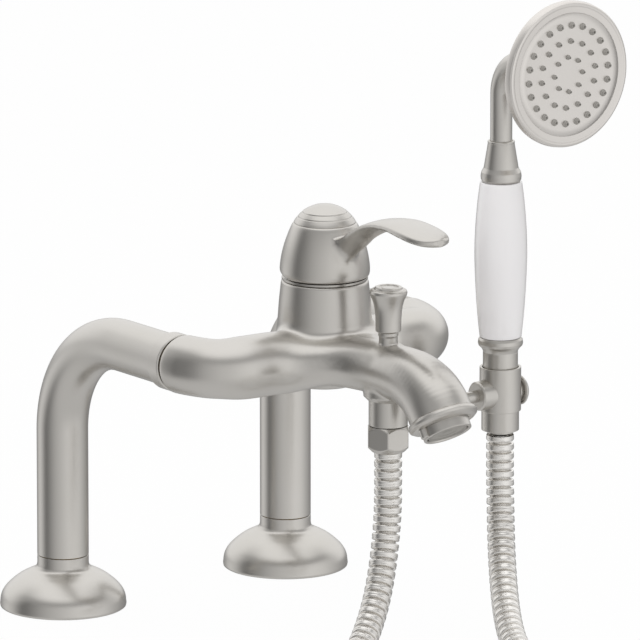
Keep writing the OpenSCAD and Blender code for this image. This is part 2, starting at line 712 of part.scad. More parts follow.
module aerator_insert() color(grey_plastic) at_mouth(housing_out - insert_len - insert_sink) difference() {
    cylinder(r = insert_r, h = insert_len);
    translate([0, 0, insert_len - dish_h]) cylinder(r = insert_r - insert_rim, h = dish_h + over);
    for (i = [0:7]) rotate([0, 0, 45 * i]) translate([insert_r * jet_share, 0, -over])
        cylinder(r = jet_r, h = insert_len + 2 * over, $fn = 16);
    translate([0, 0, -over]) cylinder(r = centre_jet_r, h = insert_len + 2 * over, $fn = 16);
}

module aerator_washer() color(rubber) at_mouth(-housing_in - aerator_washer_h + fit)
    ring(throat_r - gap, insert_r - housing_wall, aerator_washer_h - 2 * fit);

// Cradle

module at_handset(z = 0) translate([cradle_x, -outlet_y, z]) children();
module along_bar(x) translate([x, -outlet_y, cradle_z]) rotate([0, 90, 0]) children();

sleeve_r = sleeve_d / 2;
sleeve_drop = 20.3;
sleeve_z = cradle_z - sleeve_drop;
sleeve_top_z = sleeve_z + sleeve_h;
sleeve_bore_r = neck_d / 2 + gap;
// The sleeve's slimmer foot
foot_h = 10.9;
foot_step = 1;
sleeve_step_z = sleeve_z + foot_h;
boss_len = 3.6;
boss_sink = 3;
boss_x = cradle_x - sleeve_r - boss_len;
side_boss_r = boss_d / 2;
cap_neck = 1.2;
end_cap_h = 5;
cradle_washer_h = 1.3;
pin_r = bar_d / 2;
pin_stop = 1.6;
pin_end_x = cradle_x - sleeve_bore_r - pin_stop;
hose_nut_r = neck_d / 2;
hose_nut_lip = 0.5;
hose_nut_low_r = hose_r + hose_nut_lip;
cone_rise = 5;
cone_z = sleeve_z + cone_rise;
cone_len = 14;
thread_z = cone_z + cone_len * 0.6;
nut_sink = 6;
hose_nut_top_z = sleeve_top_z - nut_sink;
end_ball_r = 22.8;
spigot_r = 6.4;
washer_h = 2;
washer_inset = 0.6;

module cradle_bar() color(nickel) {
    along_bar(outlet_r - bar_socket + gap) cylinder(d = bar_thread_d, h = bar_socket);
    along_bar(outlet_r + fit) cylinder(r = pin_r, h = pin_end_x - outlet_r - 2 * fit);
}

// Rounded front of the side boss, as shares of its radius
boss_shares = [[0.55, 0], [0.72, 0.07], [0.88, 0.22], [0.97, 0.42], [1, 0.62]];
module cradle_sleeve() color(nickel) difference() {
    union() {
        at_handset(sleeve_z) cylinder(r = sleeve_r - foot_step, h = foot_h + over);
        at_handset(sleeve_step_z) cylinder(r = sleeve_r, h = sleeve_top_z - sleeve_step_z);
        // Side boss that turns on the bar
        along_bar(boss_x) intersection() {
            cylinder(r = side_boss_r, h = cradle_x - boss_x - sleeve_bore_r + boss_sink);
            turned(concat([[0, 0]], [for (s = boss_shares) side_boss_r * s],
                [[side_boss_r, sleeve_d], [0, sleeve_d]]));
        }
        // Seat of the domed cap
        along_bar(cradle_x + sleeve_bore_r)
            cylinder(r = side_boss_r * 0.7, h = sleeve_r - sleeve_bore_r + cap_neck);
    }
    at_handset(sleeve_z - over) cylinder(r = hose_r + gap, h = sleeve_h + 2 * over);
    // Taper that seats the hose's cone, and the bore above it
    at_handset() turned([[0, cone_z - fit], [hose_nut_low_r + 2 * fit, cone_z - fit],
        [sleeve_bore_r, cone_z + cone_len], [sleeve_bore_r, sleeve_top_z + over], [0, sleeve_top_z + over]]);
    along_bar(boss_x - over) cylinder(r = pin_r + fit / 2, h = pin_end_x - boss_x + over);
}

// Domed cap: share of its radius at each share of its height
end_cap_shares = [[0.92, 0], [1, 0.1], [1, 0.24], [0.95, 0.45], [0.84, 0.64], [0.66, 0.81], [0.36, 0.95],
    [0, 1]];
module cradle_cap() color(nickel) along_bar(cradle_x + sleeve_r + cap_neck + fit)
    turned(concat([[0, 0]], [for (s = end_cap_shares) [s[0] * side_boss_r, s[1] * end_cap_h]]));

// Friction washer at the bar's end of the boss
module cradle_washer() color(rubber) along_bar(boss_x - cradle_washer_h)
    ring(side_boss_r * 0.5, pin_r + fit, cradle_washer_h - fit);

// Hose end of the handset: a tapered nut inside the sleeve

module handset_hose_nut() color(nickel) at_handset() difference() {
    // Its lower end is round about the bar's axis, so it clears the hose as the cradle tips
    turned(concat([for (a = [0:4]) let (b = asin(hose_r / end_ball_r) * a / 4)
            [end_ball_r * sin(b), cradle_z - end_ball_r * cos(b)]],
        [[hose_r, cone_z], [hose_nut_low_r, cone_z], [hose_nut_r, cone_z + cone_len],
         [hose_nut_r, hose_nut_top_z], [0, hose_nut_top_z]]));
    translate([0, 0, cradle_z - end_ball_r - over]) cylinder(r = hose_bore / 2, h = end_ball_r + cone_len);
    translate([0, 0, thread_z]) cylinder(r = spigot_r + fit, h = cone_len + sleeve_h);
}

module handset_washer() color(rubber) at_handset(hose_nut_top_z + fit)
    ring(hose_nut_r - washer_inset, spigot_r + fit, washer_h - 2 * fit);

// Handset

neck_r = neck_d / 2;
handle_end_r = handle_end_d / 2;
// Neck that shows between the sleeve and the bead
neck_show = 10.3;
neck_groove = 3.2;
bead_z = sleeve_top_z + neck_show;
bead_h = 6;
bead_r = 12.1;
handle_z = bead_z + bead_h;
handle_top_z = handle_z + handle_len;
tie_r = 5.2;
tie_sink = 6;
tie_rise = 4;
ferrule_low_z = hose_nut_top_z + washer_h;

// Outline of the neck's groove and bead: share of the step out to the bead's
// radius at each share of the height from the groove to the bead's top
bead_shares = [[0, 0], [-0.06, 0.08], [-0.04, 0.16], [0.12, 0.22], [0.3, 0.3], [0.82, 0.42], [0.97, 0.54],
    [1, 0.66], [0.96, 0.8], [0.85, 0.92]];
module lower_ferrule() color(nickel) at_handset() difference() {
    union() {
        turned(concat([[0, ferrule_low_z], [neck_r, ferrule_low_z]],
            [for (s = bead_shares) [neck_r + s[0] * (bead_r - neck_r),
                bead_z - neck_groove + s[1] * (neck_groove + bead_h)]],
            [[handle_end_r, handle_z - seat], [0, handle_z - seat]]));
        // Threaded spigot into the hose nut
        translate([0, 0, thread_z + gap]) cylinder(r = spigot_r, h = ferrule_low_z - thread_z + over);
    }
    translate([0, 0, cone_z]) cylinder(r = hose_bore / 2, h = handle_z);
    translate([0, 0, bead_z - tie_sink]) cylinder(r = tie_r + fit, h = tie_sink + bead_h + over);
}

// Barrel-shaped porcelain sleeve with a bore for the tie tube
sleeve_wall_room = 1.6;
handle_shares = [0, 0.3, 0.56, 0.76, 0.9, 0.98, 1, 0.96, 0.87, 0.72, 0.5, 0.24, 0];
module porcelain_handle() color(porcelain) at_handset(handle_z) difference() {
    n = len(handle_shares) - 1;
    turned(concat([[0, 0]], [for (i = [0:n])
        [handle_end_r + handle_shares[i] * (handle_d / 2 - handle_end_r), handle_len * i / n]],
        [[0, handle_len]]));
    translate([0, 0, -over]) cylinder(r = tie_r + sleeve_wall_room, h = handle_len + 2 * over);
}

module tie_tube() color(brass) at_handset(bead_z - tie_sink + gap)
    ring(tie_r, hose_bore / 2 - gap, handle_top_z + tie_rise - bead_z + tie_sink - gap);

upper_bead_h = 7.7;
upper_bead_r = 11;
cone_low_r = 9.2;
cone_top_r = 7.1;
cone_lip = 0.2;
cone_lip_h = 1.2;
cone_h = 22.2;
cone_top_z = handle_top_z + cone_h;
tube_z = cone_top_z - cone_h / 2;
// Upper bead: share of its radius at each share of its height
upper_bead_shares = [[0.92, 0], [0.975, 0.12], [1, 0.38], [0.975, 0.62], [0.9, 0.84], [0.85, 0.96]];
module upper_ferrule() color(nickel) at_handset() difference() {
    z0 = handle_top_z + seat;
    turned(concat([[0, z0]], [for (s = upper_bead_shares) [s[0] * upper_bead_r, z0 + s[1] * upper_bead_h]],
        [[cone_low_r, z0 + upper_bead_h], [cone_top_r, cone_top_z - cone_lip_h],
         [cone_top_r + cone_lip, cone_top_z - cone_lip_h / 2], [cone_top_r, cone_top_z], [0, cone_top_z]]));
    translate([0, 0, z0 - over]) cylinder(r = tie_r + fit, h = tie_rise + 2 * over);
    translate([0, 0, z0]) cylinder(r = hose_bore / 2, h = cone_top_z - z0 + over);
    translate([0, 0, tube_z - seat]) cylinder(d = tube_d + 2 * fit, h = cone_top_z);
}

// Swan neck: upright tube, bend and a short level run into the head
head_back = 11;
tube_wall = 1.5;
tube_bore_r = tube_d / 2 - tube_wall;
module neck_tube() color(nickel) difference() {
    swan(tube_d / 2, 0);
    swan(tube_bore_r, over);
}
module swan(r, extra) at_handset() {
    translate([0, 0, tube_z - extra]) cylinder(r = r, h = head_z - tube_bend_r - tube_z + extra);
    translate([0, -tube_bend_r, head_z - tube_bend_r]) rotate([90, 0, 90])
        rotate_extrude(angle = 90) translate([tube_bend_r, 0]) circle(r = r);
    translate([0, -tube_bend_r, head_z]) rotate([90, 0, 0])
        cylinder(r = r, h = head_reach - tube_bend_r - head_back - seat + extra);
}

// Places a drawing at the head, its axis pointing out of the spray face
module at_head(z = 0) translate([cradle_x, -(outlet_y + head_reach), head_z]) rotate([90, 0, 0])
    translate([0, 0, z]) children();

head_r = head_d / 2;
plate_r = head_r * 0.84;
plate_h = 2.2;
// The plate lies this far behind the rim's front
plate_sink = 0.9;
mat_h = 1.2;
shell_wall = 2.4;
chamber_r = head_r * 0.78;
chamber_step = 1.4;
tube_socket_wall = 2.6;
socket_r = tube_d / 2 + tube_socket_wall;
socket_len = 7;
socket_fillet = 4;
// Outline of the shell: share of its radius at each share of its depth, to the rim's front
shell_shares = [[0.62, 0.855], [0.86, 0.63], [0.965, 0.56], [0.993, 0.46], [1, 0.31], [0.99, 0.13],
    [0.95, 0.02], [0.893, 0]];
module head_shell() color(nickel) at_head() difference() {
    turned(concat([[0, -head_back - socket_len], [socket_r, -head_back - socket_len],
        [socket_r, -head_back - socket_fillet / 3], [socket_r + socket_fillet, -head_back]],
        [for (s = shell_shares) [s[0] * head_r, -s[1] * head_back]],
        [[plate_r + fit, -plate_sink], [0, -plate_sink]]));
    // Chamber behind the plate and the socket of the tube
    turned([[0, -head_back + shell_wall], [head_r * 0.6, -head_back + shell_wall + chamber_step],
        [chamber_r, -head_back + shell_wall + 2 * chamber_step], [chamber_r, -plate_h - plate_sink],
        [plate_r + fit, -plate_h - plate_sink], [plate_r + fit, over], [0, over]]);
    translate([0, 0, -head_back - socket_len - over]) cylinder(r = tube_d / 2 + fit, h = socket_len + over);
    translate([0, 0, -head_back - over]) cylinder(r = tube_bore_r, h = head_back);
}

// Nozzles: counts and radii of the three circles, outermost first
nozzle_counts = [22, 14, 8];
nozzle_radius_shares = [0.672, 0.456, 0.236];
nozzle_turns = [4, 8, 2];
nozzle_d = 3.6;
nozzle_rise = 1.8;
nozzle_dip = 0.4;
module at_nozzles() for (k = [0:2], i = [0:nozzle_counts[k] - 1])
    rotate([0, 0, nozzle_turns[k] + 360 * i / nozzle_counts[k]])
        translate([nozzle_radius_shares[k] * head_r, 0, 0]) children();

module face_plate() color(nickel) at_head(-plate_sink - plate_h + seat) difference() {
    cylinder(r = plate_r, h = plate_h - seat);
    translate([0, 0, -over]) at_nozzles() cylinder(d = nozzle_d + 2 * fit, h = plate_h + 2 * over, $fn = 16);
}

// Rubber nozzle mat: a thin disc whose nozzles come through the plate
module nozzle_mat() color(grey_plastic) at_head(-plate_sink - plate_h - mat_h + fit) {
    front = mat_h + plate_h;
    cylinder(r = chamber_r - shell_wall / 3, h = mat_h - fit);
    at_nozzles() turned([[0, 0], [nozzle_d / 2, 0], [nozzle_d / 2, front],
        [nozzle_d * 0.3, front + nozzle_rise], [nozzle_d * 0.14, front + nozzle_rise], [nozzle_d * 0.14, front - nozzle_dip],
        [0, front - nozzle_dip]], $fn = 16);
}

// Hose

// Centreline points of the run that hangs from the outlet and lies on the deck's level
outlet_route = [[0, -194, 114], [0, -194, 98], [0, -194, 82], [-2.5, -195.5, 66], [-8, -199.5, 50],
    [-16, -205.5, 36], [-27, -213, 24], [-40, -222, 15], [-55, -232, 9.5], [-69, -244, 7.6],
    [-81, -258, 7.5], [-89, -275, 7.5], [-94, -295, 7.5], [-95.5, -317, 7.5], [-95.5, -338, 7.5],
    [-95.5, -359, 7.5], [-95.5, -380, 7.5], [-95.5, -401, 7.5], [-95.5, -421, 7.5], [-95.5, -441, 7.5]];
// Centreline points of the run that goes down from the cradle sleeve to the coil
handset_route = [[75, -194, 111.5], [75, -194, 100], [75, -194, 88], [73.5, -196.5, 74], [70, -201.5, 60],
    [65, -209, 46.5], [59, -218.5, 34.5], [52, -230, 24], [45, -243, 15.5], [39, -257, 10],
    [34.5, -272, 7.8], [32, -288, 7.5], [32.5, -305, 7.5], [36, -322, 8.2], [43, -338, 10.5],
    [51.5, -353, 14.2], [60, -370, 18.5], [66.7, -388.5, 22], [69.5, -408, 23.1], [69.5, -424.5, 23.1],
    [69.5, -441, 23.1]];
// Coil: a turn and a half between two straight ends, which climbs a layer on
// the far side of its second half turn
coil_centre = [-13, -456];
coil_r = 82.5;
coil_z = hose_r;
coil_layer = hose_d + 1.5 * gap;
coil_turns = 1.5;
coil_start_angle = 180;
// Shares of a turn at which the coil starts to climb, and over which it does
climb_start_share = 0.56;
climb_share = 0.34;
coil_pitch = 8.6;
run_pitch = rib_pitch * 1.2;
ring_sides = 8;
bore_step = 4;

// Point at place t of a smooth curve that starts and ends on the route's ends
function spline(route, t) = let (
        n = len(route), u = max(0, min(n - 1, t)), i = min(n - 2, floor(u)), f = u - i,
        b = route[i], c = route[i + 1], a = i > 0 ? route[i - 1] : 2 * b - c,
        d = i < n - 2 ? route[i + 2] : 2 * c - b)
    (pow(1 - f, 3) * a + (3 * pow(f, 3) - 6 * f * f + 4) * b + (1 + 3 * f + 3 * f * f - 3 * pow(f, 3)) * c
        + pow(f, 3) * d) / 6;
function dense(route, steps = 8) = [for (k = [0:steps * (len(route) - 1)]) spline(route, k / steps)];
function coil_line(steps = 72) = concat(
    [[coil_centre[0] - coil_r, coil_centre[1] + hose_d, coil_z]],
    [for (k = [0:steps * coil_turns])
        let (t = k / steps, a = coil_start_angle - 360 * t,
            climb = max(0, min(1, (t - climb_start_share) / climb_share)))
        [coil_centre[0] + coil_r * cos(a), coil_centre[1] - coil_r * sin(a),
         coil_z + coil_layer * climb * climb * (3 - 2 * climb)]],
    [[coil_centre[0] + coil_r, coil_centre[1] + hose_d, coil_z + coil_layer]]);
// Running lengths along a line, and the line cut into equal steps
function lengths(line, i = 0, total = 0, found = [0]) = i >= len(line) - 1 ? found :
    let (next = total + norm(line[i + 1] - line[i])) lengths(line, i + 1, next, concat(found, [next]));
function even(line, n) = let (s = lengths(line), total = s[len(s) - 1])
    [for (k = [0:n]) let (v = total * k / n,
        i = min(len(s) - 2, max([for (j = [0:len(s) - 1]) s[j] <= v ? j : 0])),
        f = (v - s[i]) / (s[i + 1] - s[i])) line[i] * (1 - f) + line[i + 1] * f];
function unit(v) = v / norm(v);
function heading(line, i) = let (n = len(line) - 1) unit(line[min(n, i + 1)] - line[max(0, i - 1)]);
function around(centre, way, side, r) = let (u = unit(cross(side, way)), v = cross(way, u))
    [for (k = [0:ring_sides - 1]) let (a = 360 * k / ring_sides) centre + r * (u * cos(a) + v * sin(a))];

// Ribbed tube along a line: two rings to a rib, a plain end of one diameter, and a bore
module ribbed_tube(line, pitch, side) {
    total = lengths(line)[len(line) - 1];
    halves = 2 * floor(total / pitch);
    way = even(line, halves);
    plain = ceil(hose_d / total * halves);
    outer = [for (i = [0:halves]) around(way[i], heading(way, i), side,
        i < plain || i > halves - plain || i % 2 == 0 ? hose_r : hose_r - rib_depth)];
    inner = [for (i = [halves:-1:0]) if (i % (2 * bore_step) == 0 || i == halves)
        around(way[i], heading(way, i), side, hose_bore / 2)];
    closed_loft(concat(outer, inner));
}

// Solid through rings whose last joins its first, as a tube wall's do
module closed_loft(rings) {
    n = len(rings[0]);
    m = len(rings);
    sides = [for (k = [0:m - 1], i = [0:n - 1]) let (j = (i + 1) % n, a = k * n, b = ((k + 1) % m) * n)
        each [[a + i, b + i, a + j], [a + j, b + i, b + j]]];
    polyhedron([for (r = rings) each r], sides, convexity = 10);
}

module hose_outlet_run() color(nickel) ribbed_tube(dense(outlet_route), run_pitch, [0.82, 0.57, 0]);
module hose_coil() color(nickel) {
    line = coil_line();
    apart = min([for (i = [0:len(line) - 1], j = [0:len(line) - 1]) if (j - i > 8) norm(line[j] - line[i])]);
    echo(least_gap_of_the_coil_to_itself = apart - hose_d);
    ribbed_tube(line, coil_pitch, [0, 0, 1]);
}
module hose_handset_run() color(nickel) ribbed_tube(dense(handset_route), run_pitch, [0.89, 0.45, 0]);

mixer_body();
leg(-1);  // left_leg
leg(1);  // right_leg
coupling_ring(-1);  // left_coupling_ring
coupling_ring(1);  // right_coupling_ring
union_tail(-1);  // left_union_tail
union_tail(1);  // right_union_tail
coupling_seals();
check_valve(-1);  // left_check_valve
check_valve(1);  // right_check_valve
flange(-1);  // left_flange
flange(1);  // right_flange
inlet_union(-1);  // left_inlet_union
inlet_union(1);  // right_inlet_union
inlet_strainers();
deck_seals();
cartridge_body();
cartridge_seals();
fixed_disc();
moving_disc();
cartridge_stem();
cartridge_nut();
cover_ring();
lever_handle();
lever_stem();
lever_screw();
index_cap();
diverter_knob();
diverter_bush();
diverter_spindle();
diverter_seal();
diverter_spring();
shower_outlet();
hose_nut();
outlet_washer();
aerator_collar();
aerator_housing();
aerator_insert();
aerator_washer();
cradle_bar();
cradle_sleeve();
cradle_cap();
cradle_washer();
handset_hose_nut();
handset_washer();
lower_ferrule();
porcelain_handle();
tie_tube();
upper_ferrule();
neck_tube();
head_shell();
face_plate();
nozzle_mat();
hose_outlet_run();
hose_coil();
hose_handset_run();
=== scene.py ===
"""Deck-mounted bath shower mixer in satin nickel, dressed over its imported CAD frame.

Pieces are built in mesh code in millimetres, in the frame of the CAD model (+Z up, -Y
towards the bather, X along the pair of pillars), and become metres as Blender objects.
"""

import json
import logging
import math
from dataclasses import dataclass
from enum import Enum
from functools import lru_cache
from typing import Callable, Iterable, Iterator, Sequence

import bpy
import numpy as np
from mathutils import Matrix, Vector


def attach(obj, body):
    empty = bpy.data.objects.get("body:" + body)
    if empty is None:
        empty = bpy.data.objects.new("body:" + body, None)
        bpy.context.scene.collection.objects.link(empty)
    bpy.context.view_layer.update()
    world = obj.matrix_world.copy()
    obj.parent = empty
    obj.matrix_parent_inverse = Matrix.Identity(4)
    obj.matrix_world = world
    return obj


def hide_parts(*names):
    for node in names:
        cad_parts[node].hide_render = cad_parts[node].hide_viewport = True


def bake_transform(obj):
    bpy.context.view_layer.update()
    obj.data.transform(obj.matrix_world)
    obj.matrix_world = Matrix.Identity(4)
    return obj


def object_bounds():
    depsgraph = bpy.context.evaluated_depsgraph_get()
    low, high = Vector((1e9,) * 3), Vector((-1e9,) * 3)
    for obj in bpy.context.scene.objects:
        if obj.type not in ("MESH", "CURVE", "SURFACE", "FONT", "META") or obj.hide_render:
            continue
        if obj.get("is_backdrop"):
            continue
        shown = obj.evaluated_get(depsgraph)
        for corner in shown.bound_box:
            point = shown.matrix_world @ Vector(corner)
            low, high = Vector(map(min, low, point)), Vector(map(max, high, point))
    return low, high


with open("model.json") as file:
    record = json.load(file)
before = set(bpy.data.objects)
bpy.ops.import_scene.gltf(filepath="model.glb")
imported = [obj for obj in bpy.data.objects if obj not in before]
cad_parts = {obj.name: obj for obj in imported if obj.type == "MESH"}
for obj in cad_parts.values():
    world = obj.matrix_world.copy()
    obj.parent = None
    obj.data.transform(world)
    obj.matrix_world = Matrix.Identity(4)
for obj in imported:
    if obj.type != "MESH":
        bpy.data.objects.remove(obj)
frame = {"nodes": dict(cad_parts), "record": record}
CAD_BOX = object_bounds()
MM = 0.001
FAR = 1e9
LOG = logging.getLogger("mixer")

Outline = Sequence[tuple[float, float]]


# Finishes


class Texture(Enum):
    """How a surface was made, which sets how its pattern is stretched."""

    BRUSHED = (1.0, 1.0, 0.18)
    CAST = (1.0, 1.0, 1.0)
    MOULDED = (1.0, 1.0, 0.9)


@dataclass(frozen=True)
class Finish:
    """A real material with its record slot, and the numbers that give its look."""

    name: str
    slot: str
    colour: str
    tint: str
    metallic: float
    roughness: tuple[float, float]
    grain_mm: float
    relief: float
    texture: Texture = Texture.CAST
    ior: float = 1.5
    coat: float = 0.0
    cloud_mm: float = 30.0


# Satin nickel plate on brass: brushed fine, so it gives soft broad bands and no sharp mirror
SATIN_NICKEL = Finish("satin_nickel_plate", "satin_nickel", "#CBC8C4", "#C6C3BD", 1.0, (0.30, 0.33),
    0.5, 0.006, Texture.BRUSHED)
# Stainless strip of the hose: brighter than the plate, with a clear line of light on each rib
HOSE_STRIP = Finish("spiral_wound_steel", "hose_metal", "#ECEAE6", "#E4E1DD", 1.0, (0.25, 0.29),
    1.1, 0.01)
# Glazed porcelain: milky white under a hard clear glaze, so a faint shine over an even body
PORCELAIN = Finish("glazed_porcelain", "porcelain", "#F5F3F4", "#F1EFF0", 0.0, (0.1, 0.16), 14.0,
    0.02, ior=1.52, coat=0.5)
# Free-cutting brass, bare from the lathe: warm yellow with turning marks
BRASS = Finish("turned_brass", "brass", "#C8A864", "#B8975A", 1.0, (0.22, 0.32), 0.8, 0.05,
    Texture.BRUSHED)
# Black nitrile rubber: matt and nearly even
RUBBER = Finish("nitrile_rubber", "black_rubber", "#1B1B1B", "#232222", 0.0, (0.55, 0.68), 0.6,
    0.08)
# Grey silicone and acetal at the water's way out: soft grey, slightly waxy
SILICONE = Finish("grey_silicone", "grey_rubber", "#A09D98", "#97948F", 0.0, (0.42, 0.52), 0.8,
    0.05, Texture.MOULDED)
# White moulded acetal of the inner works
ACETAL = Finish("moulded_acetal", "white_plastic", "#DAD9D4", "#D2D1CB", 0.0, (0.34, 0.44), 1.2,
    0.04, Texture.MOULDED)
# Lapped alumina discs: ivory, dead flat and lightly polished
CERAMIC = Finish("lapped_alumina", "ceramic", "#E8E2D2", "#E2DBC9", 0.0, (0.18, 0.26), 2.0, 0.01,
    ior=1.7)
# Stainless steel of the screw, spring and ring in the seam: a shade darker than the plate
STAINLESS = Finish("stainless_steel", "steel", "#BDBAB5", "#B4B1AC", 1.0, (0.24, 0.32), 0.8, 0.01,
    Texture.BRUSHED)
# Nickel on the flat spray plate and the head's shell: the same satin nickel with its colour painted
# a shade whiter, as painted light for the face that lies square to the viewer
NICKEL_PAINTED_WHITER = Finish("satin_nickel_painted_whiter", "satin_nickel", "#DFDBD7", "#DAD6D1", 1.0, (0.34, 0.38),
    0.6, 0.006, Texture.BRUSHED)
# Painted board under the mixer: pale and dull
BOARD = Finish("painted_board", "floor", "#F6F6F5", "#F4F4F3", 0.0, (0.7, 0.8), 40.0, 0.0)


def linear(colour: str) -> tuple[float, float, float, float]:
    """Turns an sRGB hex colour to linear light."""
    parts = [int(colour[i:i + 2], 16) / 255 for i in (1, 3, 5)]
    return tuple(c / 12.92 if c <= 0.04045 else ((c + 0.055) / 1.055) ** 2.4
        for c in parts) + (1.0,)


def add(tree: bpy.types.NodeTree, kind: str, sockets: dict | None = None,
        **settings) -> bpy.types.Node:
    """Adds a node with its settings, and sets or links its inputs.

    Args:
        tree: Node tree that takes the node.
        kind: Blender's name of the node's type.
        sockets: Input name or number to a value or to the socket that feeds it.
        **settings: Attributes of the node.

    Returns:
        The new node.
    """
    made = tree.nodes.new(kind)
    for name, value in settings.items():
        setattr(made, name, value)
    for key, value in (sockets or {}).items():
        if isinstance(value, bpy.types.NodeSocket):
            tree.links.new(value, made.inputs[key])
        else:
            made.inputs[key].default_value = value
    return made


@lru_cache(maxsize=None)
def material_of(finish: Finish) -> bpy.types.Material:
    """Builds the node material of a finish, once.

    Args:
        finish: Finish to build.

    Returns:
        Material with colour cloud, uneven roughness and a fine relief.
    """
    material = bpy.data.materials.new(finish.name)
    material.use_nodes = True
    tree = material.node_tree
    tree.nodes.clear()
    place = add(tree, "ShaderNodeTexCoord")
    stretch = add(tree, "ShaderNodeMapping", {"Vector": place.outputs["Object"],
        "Scale": finish.texture.value})
    cloud = add(tree, "ShaderNodeTexNoise", {"Vector": place.outputs["Object"],
        "Scale": 1 / (finish.cloud_mm * MM), "Detail": 2.0})
    grain = add(tree, "ShaderNodeTexNoise", {"Vector": stretch.outputs["Vector"],
        "Scale": 1 / (finish.grain_mm * MM), "Detail": 3.0, "Roughness": 0.6})
    colour = add(tree, "ShaderNodeMix", {0: cloud.outputs["Fac"], 6: linear(finish.colour),
        7: linear(finish.tint)}, data_type="RGBA")
    rough = add(tree, "ShaderNodeMapRange", {"Value": grain.outputs["Fac"],
        "To Min": finish.roughness[0], "To Max": finish.roughness[1]})
    relief = add(tree, "ShaderNodeBump", {"Height": grain.outputs["Fac"], "Strength": finish.relief,
        "Distance": finish.grain_mm * MM * 0.3})
    shader = add(tree, "ShaderNodeBsdfPrincipled",
        {"Base Color": colour.outputs[2], "Roughness": rough.outputs["Result"],
        "Normal": relief.outputs["Normal"], "Metallic": finish.metallic})
    if not finish.metallic:
        shader.inputs["IOR"].default_value = finish.ior
        shader.inputs["Coat Weight"].default_value = finish.coat
    add(tree, "ShaderNodeOutputMaterial", {"Surface": shader.outputs["BSDF"]})
    return material


# Shapes


@dataclass
class Shape:
    """Mesh in millimetres: points, faces as point numbers, and a normal at each point."""

    points: np.ndarray
    faces: list[tuple[int, ...]]
    normals: np.ndarray | None = None

    def placed(self, origin: Sequence[float], axis: Sequence[float] = (0, 0, 1)) -> "Shape":
        """Turns the shape's own Z to an axis and moves it.

        Args:
            origin: Where the shape's own origin goes.
            axis: Direction of the shape's own Z.

        Returns:
            The moved shape.
        """
        z = np.array(axis, float)
        x = np.array([1.0, 0, 0]) if abs(z[0]) < 0.9 else np.array([0, 1.0, 0])
        x = x - z * (x @ z)
        turn = np.column_stack([x, np.cross(z, x), z])
        normals = None if self.normals is None else self.normals @ turn.T
        return Shape(self.points @ turn.T + np.array(origin, float), self.faces, normals)

    def weighted(self) -> np.ndarray:
        """Gives point normals weighted by the area of the faces round each point."""
        normals = np.zeros_like(self.points)
        for size in (3, 4):
            chosen = np.array([f for f in self.faces if len(f) == size], int).reshape(-1, size)
            p = self.points[chosen]
            across = np.cross(p[:, 2] - p[:, 0], p[:, -1] - p[:, 1])
            for k in range(size):
                np.add.at(normals, chosen[:, k], across)
        return normals / np.maximum(np.linalg.norm(normals, axis=1), 1e-12)[:, None]


def joined(*shapes: Shape) -> Shape:
    """Puts shapes into one, with the normals each one has."""
    faces, start = [], 0
    for shape in shapes:
        faces += [tuple(i + start for i in f) for f in shape.faces]
        start += len(shape.points)
    normals = [s.weighted() if s.normals is None else s.normals for s in shapes]
    return Shape(np.vstack([s.points for s in shapes]), faces, np.vstack(normals))


def rounded(corners: Outline, radius: float, steps: int = 5) -> list[tuple[float, float]]:
    """Rounds the inner corners of an outline.

    Args:
        corners: Points of the outline.
        radius: Radius of each rounding, less where the sides are short.
        steps: Steps along each rounding.

    Returns:
        Points of the rounded outline.
    """
    soft = [tuple(corners[0])]
    for a, b, c in zip(corners, corners[1:], corners[2:]):
        before, corner, after = np.array(a, float), np.array(b, float), np.array(c, float)
        u, v = before - corner, after - corner
        long_u, long_v = np.linalg.norm(u), np.linalg.norm(v)
        half = math.acos(max(-1.0, min(1.0, float(u @ v) / (long_u * long_v)))) / 2
        if half > 1.45:
            soft.append(tuple(corner))
            continue
        reach = min(radius / math.tan(half), 0.48 * long_u, 0.48 * long_v)
        start, end = corner + u / long_u * reach, corner + v / long_v * reach
        for t in np.linspace(0, 1, steps + 1):
            soft.append(tuple((1 - t) ** 2 * start + 2 * t * (1 - t) * corner + t * t * end))
    return soft + [tuple(corners[-1])]


# Weights of four points in a cubic: one curve passes its points, the other stays near them
PASSING = np.array([[0, 2, 0, 0], [-1, 0, 1, 0], [2, -5, 4, -1], [-1, 3, -3, 1]]) / 2
NEARING = np.array([[1, 4, 1, 0], [-3, 0, 3, 0], [3, -6, 3, 0], [-1, 3, -3, 1]]) / 6


def through(points: Sequence[Sequence[float]], steps: int = 6,
        weights: np.ndarray = PASSING) -> np.ndarray:
    """Draws a smooth curve through points, or near them.

    Args:
        points: Points that the curve follows.
        steps: Steps between two points.
        weights: How the curve weighs the points.

    Returns:
        Points along the curve, from the first point to the last.
    """
    p = np.array(points, float)
    p = np.vstack([2 * p[0] - p[1], p, 2 * p[-1] - p[-2]])
    powers = np.power.outer(np.arange(steps) / steps, np.arange(4))
    return np.vstack([powers @ weights @ p[i:i + 4] for i in range(len(p) - 3)] + [p[-2]])


def turned(outline: Outline, sides: int = 96) -> Shape:
    """Turns a half outline about Z.

    Args:
        outline: Radius and height of each point, from the foot up the outside.
        sides: Points round each ring.

    Returns:
        The turned surface.
    """
    angles = np.arange(sides) * 2 * math.pi / sides
    points, circles = [], []
    for radius, height in outline:
        start = len(points)
        if radius < 1e-6:
            points.append((0.0, 0.0, height))
            circles.append([start])
        else:
            points += [(radius * math.cos(a), radius * math.sin(a), height) for a in angles]
            circles.append(list(range(start, start + sides)))
    faces = []
    for low, high in zip(circles, circles[1:]):
        for i in range(sides):
            j = (i + 1) % sides
            if len(low) == 1 and len(high) > 1:
                faces.append((low[0], high[j], high[i]))
            elif len(high) == 1 and len(low) > 1:
                faces.append((low[i], low[j], high[0]))
            elif len(low) > 1:
                faces.append((low[i], low[j], high[j], high[i]))
    return Shape(np.array(points), faces)


